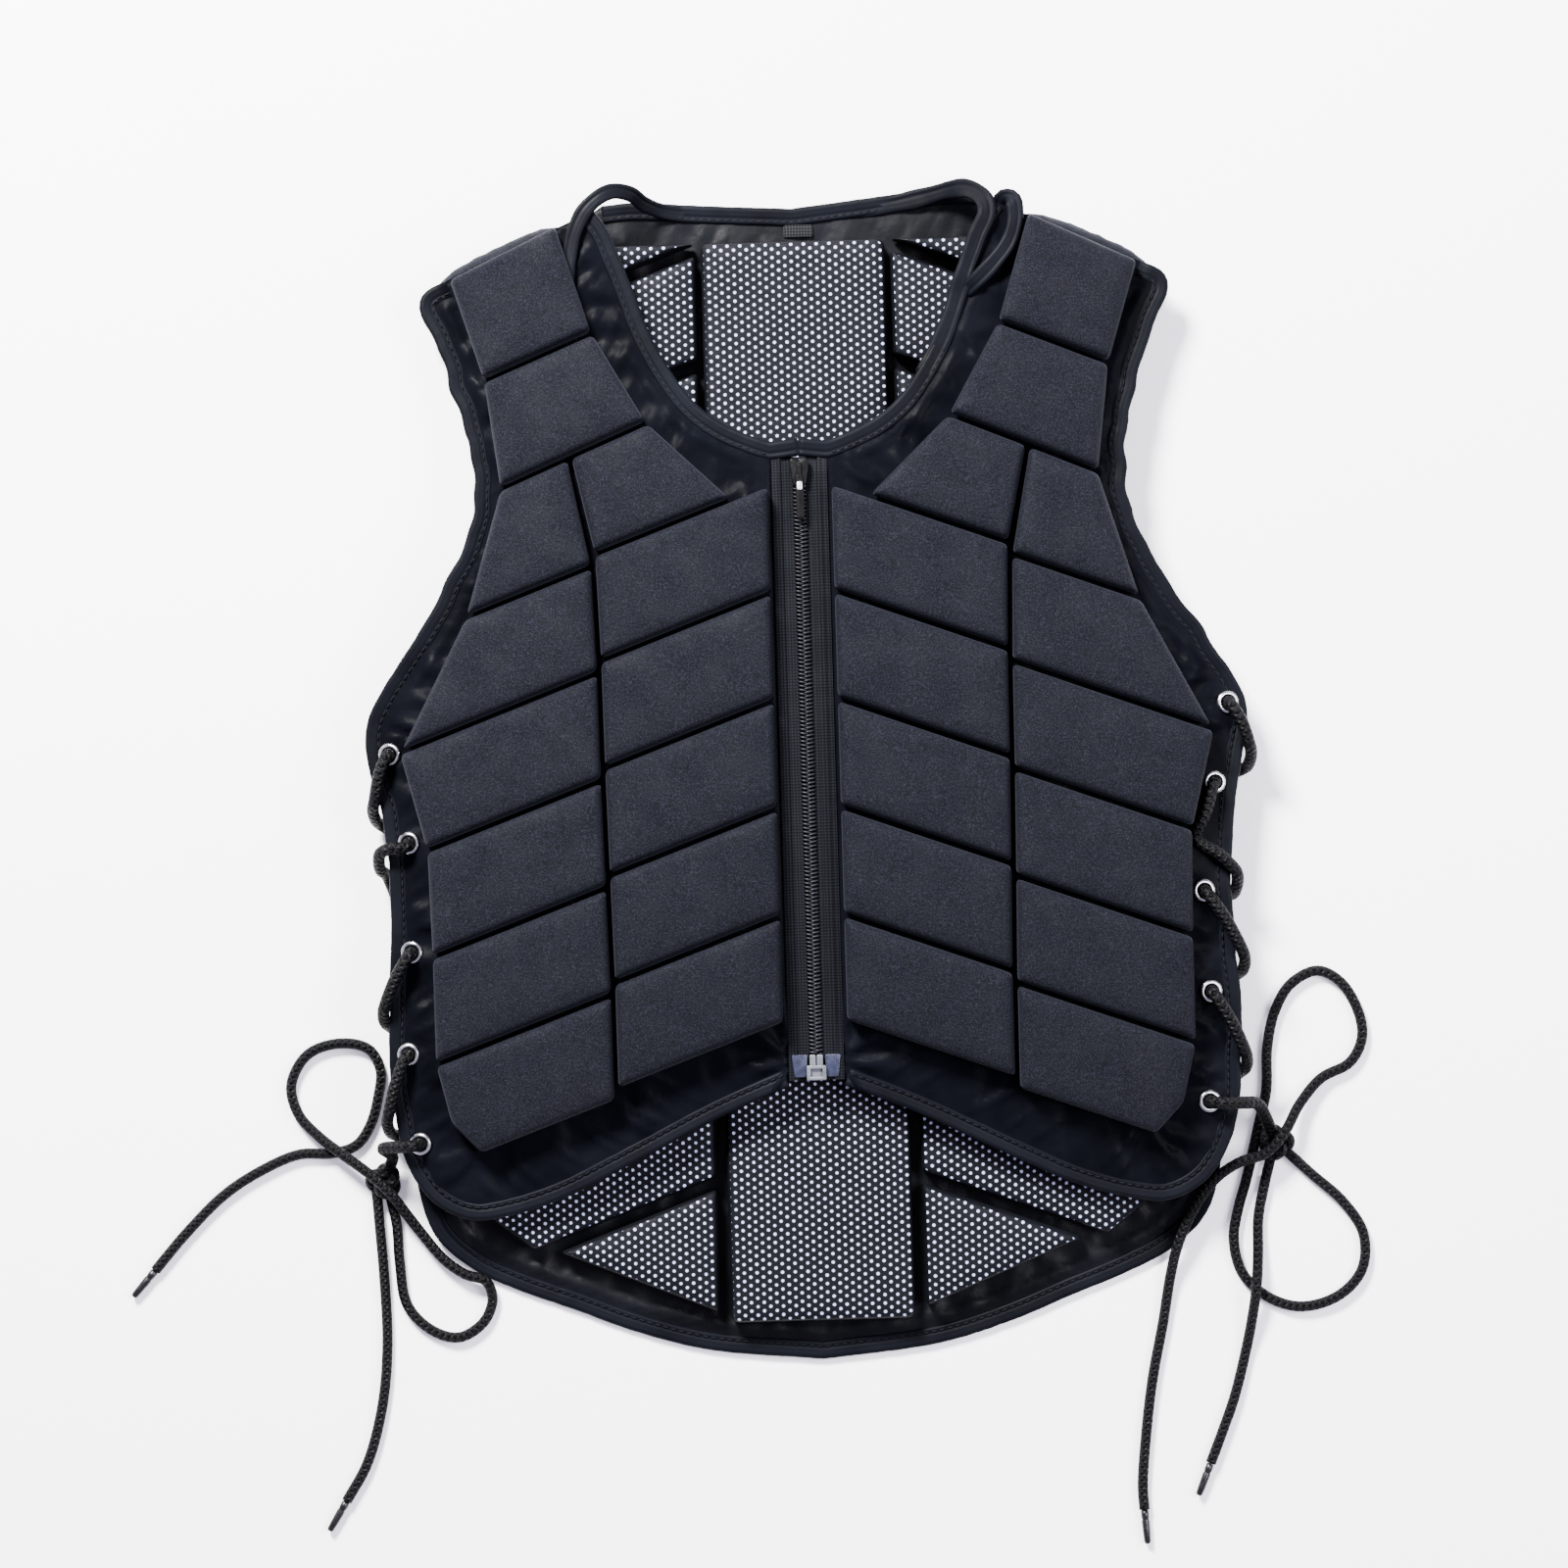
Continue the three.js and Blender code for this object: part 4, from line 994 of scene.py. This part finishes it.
def front_pads():
    for side, sign in SIDES:
        for number, (name, cell) in enumerate(front_cells().items()):
            cx = sum(p[0] for p in cell) / len(cell)
            cy = sum(p[1] for p in cell) / len(cell)
            plane = front_plane(cx, cy)
            polygon = inset_polygon(cell, PAD_GAP / 2)
            base = lambda x, y: plane(x, y) + CLOTH + SEAT
            seed = number * 3.1 + (50 if sign < 0 else 0)
            mesh = pad_mesh(polygon, PAD_CORNER, base, PAD_PROFILE, 0.9, 9, 0.45, seed)
            pad = put_mesh("padding_%s_%s" % (side, name), *mesh, ["pad"], mirror=sign < 0)
            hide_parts("pad_%s_%s" % (side, name))


def ridge_lift(x, y, d, ridges):
    """Height of the raised lines beside the edge; each is (distance in, half width, height, from y, to y)."""
    lift = 0.0
    for at, half, high, y0, y1 in ridges:
        ends = min(unit((y - y0) / 12), unit((y1 - y) / 12))
        uneven = 0.75 + 0.5 * wobble(x / 18, y / 18, at)
        off = d - at + 0.8 * wobble(x / 25, y / 25, 3)
        lift += high * ends * uneven * math.exp(-((off / half) ** 2))
    return lift


def foot_folds(x, y):
    """Folds that spread in the cloth from the foot of the zip."""
    dx, dy = abs(x) - 11, y + 132
    r, a = math.hypot(dx, dy), math.atan2(dy, dx)
    return 1.75 * math.exp(-(((r - 14) / 12) ** 2)) * math.cos(7.5 * a + 1.2)


def gathers(points, outline, amplitude, seed, ridges=()):
    """Folds that run in from the bound edge, strongest a little way inside it."""
    depth, along = nearest_edge(points, outline)
    out = []
    for (x, y), d, s in zip(points, depth, along):
        fold = wobble((s + 0.35 * d) / 11, d / 60, seed)
        fold = math.copysign(abs(fold) ** 0.75, fold)
        crease = 1 - abs(wobble((s - 0.6 * d) / 12, d / 70, seed + 17)) * 6
        fold += 0.7 * max(0, crease) ** 1.5
        wide = wobble(x / 34, y / 34, seed + 4)
        strength = 0.55 + 0.9 * max(0, wide + 0.3)
        grow = unit((d - 6.5) / 8)
        out.append(amplitude * grow * strength * fold + ridge_lift(x, y, d, ridges))
    return out


def cloth_panel(outline, spacing, amplitude, seed, ridges, upper, under):
    """A closed sheet over an outline, gathered inside its edge; upper and under take x, y and the lift."""
    places, triangles = filled(outline, spacing)
    lift = gathers(places, outline, amplitude, seed, ridges)
    n, m = len(places), len(outline)
    verts = [(x, y, side(x, y, h)) for side in (upper, under) for (x, y), h in zip(places, lift)]
    faces = list(triangles) + flipped([[i + n for i in f] for f in triangles])
    faces += [(i, i + n, (i + 1) % m + n, (i + 1) % m) for i in range(m)]
    return verts, faces


def binding_section(half, height):
    """Folded tape: a full outer edge, a shallow dip along the stitches and a thin inner edge."""
    top = [(-half, 0.0), (-half * 0.94, height * 0.62), (-half * 0.74, height), (-half * 0.4, height * 0.94),
           (-half * 0.1, height * 0.82), (half * 0.2, height * 0.86), (half * 0.36, height * 0.5),
           (half * 0.5, height * 0.9), (half * 0.86, height * 0.84), (half, height * 0.3)]
    under = [(u, -w) for u, w in reversed(top[1:])]
    return top + under


def binding_strip(run, middle, half_height, seed):
    """Folded tape over a bound edge, with a little unevenness along it."""
    half = BINDING_WIDTH / 2
    path, side = [], []
    for i, ((x, y), n) in enumerate(zip(run, inward_normals(run))):
        puff = wobble(i * 0.45, seed) * 0.35 + wobble(i * 0.9, seed, 4) * 0.2
        inner_x, inner_y = x + n[0] * (half - BINDING_LAP), y + n[1] * (half - BINDING_LAP)
        path.append((inner_x, inner_y, middle(inner_x, inner_y) + puff * 0.5))
        side.append((n[0] * (1 + puff * 0.12), n[1] * (1 + puff * 0.12)))
    return strip_mesh(path, side, binding_section(half, half_height))


def stitch_row(run, height, length=2.6, gap=1.3):
    """Short threads lying in a row beside an edge."""
    inset = [(x + n[0] * STITCH_INSET, y + n[1] * STITCH_INSET, 0)
             for (x, y), n in zip(run, inward_normals(run))]
    line = resample(inset, length + gap)
    parts = []
    for a, b in zip(line, line[1:]):
        d = (b - a).normalized()
        p, q = a + d * gap / 2, b - d * gap / 2
        pts = []
        for t, drop in ((0, -0.35), (0.25, 0.12), (0.75, 0.12), (1, -0.35)):
            r = p.lerp(q, t)
            pts.append(Vector((r.x, r.y, height(r.x, r.y) + drop)))
        v, f, _ = tube_mesh(pts, 0.3, 5)
        parts.append((v, f))
    return join_parts(parts)


def edging(start, end, strips, runs, height, mirror=False):
    """The binding of a panel and its row of stitches."""
    rows = [stitch_row(run, height) for run in runs]
    for kind, parts, look in (("binding", strips, "binding"), ("stitches", rows, "thread")):
        piece = put_mesh(start + kind + end, *join_parts(parts), [look], mirror=mirror)


def front_panels():
    top = lambda x, y: front_height(x, y) + CLOTH - 0.2 + foot_folds(x, y)
    upper = lambda x, y, h: top(x, y) + h
    under = lambda x, y, h: top(x, y) - (CLOTH - 0.6) + min(0, h)
    middle = lambda x, y: front_height(x, y) + CLOTH / 2
    on_top = lambda x, y: middle(x, y) + 1.9
    for side, sign in SIDES:
        side_run, neck_run = front_outline(side)
        seam = edge_line(side_run[-1], spot(SHOULDER_NECK_END))[1:]
        outline = side_run + seam + neck_run + edge_line(neck_run[-1], side_run[0])[1:-1]
        seed = 3.0 if sign > 0 else 21.0
        mesh = cloth_panel(outline, 2.4, 2.6, seed, [(11.5, 1.7, 1.7, 40, 232)], upper, under)
        panel = put_mesh("front_cloth_" + side, *mesh, ["satin"], mirror=sign < 0)
        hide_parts("front_shell_" + side)
        strips = [binding_strip(side_run, middle, 2.0, seed),
                  binding_strip(over_zip(neck_run), middle, 2.1, seed + 1)]
        edging("front_", "_" + side, strips, (side_run, neck_run), on_top, sign < 0)


# Back

def mirrored(run):
    return [(-x, y) for x, y in reversed(run)]


def shoulder_fold(side, sign):
    """The padded fold of the shoulder seam, from the front's edge down to the back's."""
    outer, inner = Vector(spot(FRONT_SIDE[-1])), Vector(spot(SHOULDER_NECK_END))
    along = (inner - outer).normalized()
    out = Vector((-along.y, along.x))
    out = out if out.y > 0 else -out
    verts, rings = [], 34
    for i in range(rings):
        t = 0.14 + 0.85 * i / (rings - 1)
        full = math.sqrt(min(1, (i + 0.3) / 5, (rings - 0.7 - i) / 5))
        p = outer.lerp(inner, t)
        high = front_height(p.x, p.y) + CLOTH * 0.7
        low = back_height(p.x) + 0.6
        swell = 5.4 * math.sin(math.pi * (t - 0.1) / 0.95) ** 0.4 + 0.5 * wobble(i * 0.4, 7, sign)
        for k in range(FOLD_SIDES):
            a = math.pi * (0.5 - k / (FOLD_SIDES - 1))
            q = p + out * (-3.0 + (3.0 + swell * full) * max(0, math.cos(a)) ** 0.8)
            pucker = 0.35 * wobble(i * 0.5, k * 0.4, sign + 3)
            half = (high - low) / 2 * (0.35 + 0.65 * full)
            verts.append((q.x, q.y + pucker, (high + low) / 2 + half * math.sin(a)))
    faces = flipped(ring_faces(FOLD_SIDES, rings) + end_caps(FOLD_SIDES, len(verts)))
    fold = put_mesh("shoulder_fold_" + side, verts, faces, ["pad"], mirror=sign < 0)


def ribbon(name, points, half_width, half_height, seed):
    """A strip of binding tape through points of x, y and height."""
    path = resample(smooth_path(points), 2.0)
    normals = inward_normals([(p.x, p.y) for p in path])
    rippled = [(p.x, p.y, p.z + 0.5 * wobble(i * 0.22, seed)) for i, p in enumerate(path)]
    wide = [1 + 0.12 * wobble(i * 0.16, seed, 5) for i in range(len(path))]
    turned = [(n[0] * w, n[1] * w) for n, w in zip(normals, wide)]
    verts, faces = strip_mesh(rippled, turned, binding_section(half_width, half_height))
    verts = [(x, y, max(0.25, z)) for x, y, z in verts]
    strip = put_mesh(name, verts, faces, ["binding"])


def neck_strips():
    """The bindings' loose ends at the neck's shoulders: a raised loop left, two folded strips right."""
    ribbon("neck_loop_left", [
        (-104, 200, 31), (-105.5, 212, 34), (-106.5, 224, 34.6), (-106, 236, 32.5), (-104.5, 248, 31),
        (-101.5, 260, 30.5), (-95.5, 270.5, 30), (-85, 277.6, 28.5), (-75.5, 277, 23), (-69, 273, 13),
        (-59, 270, 4.5), (-45, 268.4, 1.4)], 3.7, 1.4, 1)
    run = edge_curve(FRONT_NECK)[3:38]
    neck = [(x + n[0] * 3.0, y + n[1] * 3.0, front_height(x, y) + 4.8 - 0.115 * k)
            for k, ((x, y), n) in enumerate(zip(run, inward_normals(run)))]
    ribbon("neck_strip_right_inner", [
        (28, 268.6, 1.3), (42, 270.2, 2.2), (54, 271.9, 3.6), (65, 274, 6), (75, 276, 11), (84, 275, 20),
        (91, 268, 29)] + neck[::4], 4.4, 1.5, 2)
    ribbon("neck_strip_right_outer", [
        (97, 252, 12), (97, 262, 20), (99, 269.5, 27), (103.5, 268.5, 31), (104.5, 259, 32.5),
        (101, 248, 33.5), (94, 239, 34), (86, 231, 33), (80, 226, 30)], 3.9, 1.5, 3)


def back_panel():
    side_run, collar_run = shoulder_corner(edge_curve(BACK_SIDE)), edge_curve(BACK_COLLAR)
    raised_run = edge_curve(RAISED_COLLAR)
    seam = edge_line(side_run[-1], spot(SHOULDER_NECK_END))[1:]
    outline = side_run + seam + raised_run + mirrored(side_run + seam + collar_run)[1:-1]
    ridges = [(12.5, 2.0, 2.6, -400, -170), (11, 1.6, 1.6, 40, 240)]
    upper = lambda x, y, h: back_height(x) + CLOTH - 0.2 + max(-0.6, h)
    mesh = cloth_panel(outline, 3.0, 1.6, 40.0, ridges, upper, lambda x, y, h: back_height(x))
    panel = put_mesh("back_cloth", *mesh, ["shell"])
    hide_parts("back_shell")
    hem = mirrored(side_run)[:-1] + side_run
    collar = raised_run[:-1] + mirrored(collar_run)
    middle = lambda x, y: back_height(x) + 2.1
    strips = [binding_strip(hem, middle, 1.8, 60.0), binding_strip(collar, middle, 1.85, 61.0)]
    edging("back_", "", strips, (hem, collar), lambda x, y: back_height(x) + 3.75)


BACK_PROFILE = [(0.8, 0.0), (0.1, 1.5), (0.0, 4.0), (0.1, 9.0), (0.6, 11.4), (1.4, 12.6), (2.6, 13.2)]


def back_rows():
    """Polygons of the foam rows beside the spine, between the slanted grooves."""
    region = [spot(share) for share in BACK_PAD_EDGE]
    levels = [BACK_SEAM_LOWEST + BACK_SEAM_PITCH * k for k in range(9)]
    edges = [-1000.0, *levels, 1000.0]
    rows = []
    for low, high in zip(edges, edges[1:]):
        part = clip(region, SEAM_SLOPE, 1, high - BACK_GROOVE / 2)
        part = clip(part, -SEAM_SLOPE, -1, -(low + BACK_GROOVE / 2)) if part else part
        if len(part) > 2 and max(p[1] for p in part) - min(p[1] for p in part) > 14:
            rows.append(part)
    return rows


def without_short_sides(points, least=4.0):
    out = []
    for p in points:
        if not out or math.dist(p, out[-1]) > least:
            out.append(p)
    if math.dist(out[0], out[-1]) < least:
        out.pop()
    return out


def lined_pads(name, polygons, corner, base, crown, reach, ripple, seed, mirror=False):
    """Foam blocks with the net on top and the back's dark cloth on their sides as painted shade of the
    grooves.
    """
    parts, kinds = [], []
    side_top = BACK_PROFILE[-2][1] + 0.25
    for k, polygon in enumerate(polygons):
        verts, faces = pad_mesh(polygon, corner, base, BACK_PROFILE, crown, reach, ripple, seed + 2.3 * k,
                                6.0, 4.0)
        heights = [z - base(x, y) for x, y, z in verts]
        # Faces below the net's top edge take the dark cloth: painted shade on the blocks' sides.
        kinds += [int(max(heights[i] for i in face) < side_top) for face in faces]
        parts.append((verts, faces))
    verts, faces = join_parts(parts)
    return put_mesh(name, verts, faces, ["net", "shell"], kinds, mirror=mirror)


def back_pads():
    for side, sign in SIDES:
        base = lambda x, y: CLOTH + SEAT + back_height(x) * 0.98
        rows = [without_short_sides(row) for row in back_rows()]
        foam = lined_pads("back_padding_" + side, rows, 2.6, base, 0.6, 9, 0.4, 70.0 * (sign < 0), sign < 0)
        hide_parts("pads_back_" + side)
    polygon = [(-SPINE_HALF_WIDTH, SPINE_BOTTOM), (SPINE_HALF_WIDTH, SPINE_BOTTOM),
               (SPINE_HALF_WIDTH, SPINE_TOP), (-SPINE_HALF_WIDTH, SPINE_TOP)]
    spine = lined_pads("spine_padding", [polygon], 4, lambda x, y: CLOTH + SEAT, 0.7, 12, 0.5, 90.0)
    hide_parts("pad_back_spine")


# Zip

def zip_height(y):
    return front_height(0, y)


def zip_parts():
    for side, sign in SIDES:
        ys = [ZIP_BOTTOM + (ZIP_TOP - ZIP_BOTTOM) * k / 100 for k in range(101)]
        path = [(0, y, zip_height(y)) for y in ys]
        section = [(2.9, CLOTH - 0.5), (5.6, CLOTH - 0.3), (5.9, CLOTH - 0.5), (8.2, CLOTH - 0.4),
                   (8.7, CLOTH + 0.7), (9.6, CLOTH + 1.0), (10.4, CLOTH + 0.45), (12.9, CLOTH + 0.3),
                   (13.0, 0.2), (18, 0.1), (18, -0.5), (2.9, -0.5)]
        verts, faces = strip_mesh(path, [(1, 0)] * len(path), section)
        sunk = [(x, y, z - 1.5 * unit((y - ZIP_TOP + 10) / 3)) for x, y, z in verts]
        tape = put_mesh("zip_side_" + side, sunk, flipped(faces), ["tape"], mirror=sign < 0, smooth=False)
        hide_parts("zip_tape_" + side)
    zip_coil()
    zip_slider()
    zip_foot()


def bead(cx, cy, cz, half, turn, tilt=0.0):
    """A small rounded bar, half = (across, along, up)."""
    verts = []
    rings, sides = 5, 8
    for i in range(rings):
        t = math.pi * (i + 0.5) / rings
        for k in range(sides):
            a = 2 * math.pi * k / sides
            x = -math.cos(t) * half[0]
            y, z = math.sin(t) * math.cos(a) * half[1], math.sin(t) * math.sin(a) * half[2]
            c, s = math.cos(turn), math.sin(turn)
            verts.append((cx + x * c - y * s, cy + x * s + y * c, cz + z + tilt * x))
    return verts, ring_faces(sides, rings) + end_caps(sides, len(verts))


def zip_coil():
    """Two rows of interlocking turns."""
    parts, pitch = [], 1.84
    y, k = ZIP_BOTTOM + 13, 0
    while y < ZIP_TOP - 5:
        sign = 1 if k % 2 else -1
        z = zip_height(y) + CLOTH + 0.35
        parts.append(bead(sign * 1.35, y, z, (2.25, 0.62, 0.95), sign * 0.2, -0.12 * sign))
        y += pitch / 2
        k += 1
    coil = put_mesh("zip_coil", *join_parts(parts), ["coil"])
    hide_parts("zip_teeth")


def block(outline, base, height, bevel, sides_up=3):
    """A bevelled plate over an outline."""
    rings = [(0.0, 0.0)]
    for k in range(sides_up + 1):
        a = math.pi / 2 * k / sides_up
        rings.append((bevel * (1 - math.cos(a)), height - bevel + bevel * math.sin(a)))
    verts, n = [], len(outline)
    for d, z in rings:
        for x, y in offset(outline, d):
            verts.append((x, y, base(x, y) + z))
    return verts, ring_faces(n, len(rings)) + end_caps(n, len(verts))


def box_outline(x0, x1, y0, y1, radius, step=0.5):
    return rounded([(x0, y0), (x1, y0), (x1, y1), (x0, y1)], radius, step)


def zip_slider():
    plane = front_plane(0.6, SLIDER_Y)
    base = lambda lift: (lambda x, y: plane(0.6, y) + CLOTH + 0.7 + lift)
    y = SLIDER_Y
    tip = y - 22
    body = rounded([(-3.0, y - 6.5), (3.0, y - 6.5), (4.5, y + 2), (4.4, y + 6.5), (1.2, y + 6.2),
                    (0, y + 4.5), (-1.2, y + 6.2), (-4.4, y + 6.5), (-4.5, y + 2)], 1.6, 0.7)
    bridge = box_outline(-1.1, 1.1, y - 3.5, y + 4, 0.8)
    pull = rounded([(-2.0, tip), (2.0, tip), (1.9, y - 6), (1.5, y - 1), (-1.5, y - 1), (-1.9, y - 6)],
                   1.4, 0.6)
    parts = [block(body, base(0.8), 2.6, 0.7), block(bridge, base(3.0), 1.8, 0.6),
             block(pull, base(3.4), 1.3, 0.5)]
    slider = put_mesh("slider_and_pull", *join_parts(parts), ["slider"])
    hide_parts("zip_slider")
    worn = block(box_outline(-1.3, 1.3, y - 8.5, y - 4.5, 0.9), base(4.45), 0.5, 0.2)
    put_mesh("pull_worn_spot", *worn, ["worn"])


def zip_foot():
    """The box at the zip's foot: a square frame with its pin block above, on a clear film."""
    y, middle = ZIP_BOTTOM, -135
    slope = (zip_height(middle + 5) - zip_height(middle - 5)) / 10
    base = lambda lift: (lambda x, y: zip_height(middle) + slope * (y - middle) + CLOTH + SEAT + lift)
    bars = [(-4.6, -2.7, 0, 7, 3.0), (2.7, 4.6, 0, 7, 3.0), (-3.2, 3.2, 0, 1.7, 3.0),
            (-3.2, 3.2, 5.3, 7, 3.0), (-2.8, 2.8, 1.2, 5.8, 1.4), (-3.1, -0.25, 6.6, 12, 2.4),
            (0.25, 3.1, 6.6, 12, 2.4)]
    parts = [block(box_outline(x0, x1, y + low, y + high, 0.7), base(0), height, 0.45)
             for x0, x1, low, high, height in bars]
    box = put_mesh("zip_foot_box", *join_parts(parts), ["box"])
    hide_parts("zip_box")
    films = []
    for sign in (1, -1):
        points = [(sign * 4.9, y + 1.5), (sign * 10.2, y + 1.5), (sign * 11.5, y + 12), (sign * 4.0, y + 12)]
        if sign < 0:
            points.reverse()
        films.append(block(rounded(points, 0.8, 0.8), base(0.1), 0.5, 0.15))
    put_mesh("zip_film", *join_parts(films), ["film"])


def neck_tab():
    outline = box_outline(-4, 10, 256.6, 262.5, 1.0, 0.8)
    mesh = block(outline, lambda x, y: CLOTH + SEAT + 0.3 * math.sin(x * 0.5), 1.3, 0.5)
    tab = put_mesh("neck_loop_tab", *mesh, ["tab"])
    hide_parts("neck_tab")


add_camera()
for name, points in BOWS.items():
    free_cord(name, points)
side_laces()
eyelets()
front_pads()
front_panels()
back_panel()
back_pads()
for side, sign in SIDES:
    shoulder_fold(side, sign)
neck_strips()
zip_parts()
neck_tab()
add_light()
add_floor()
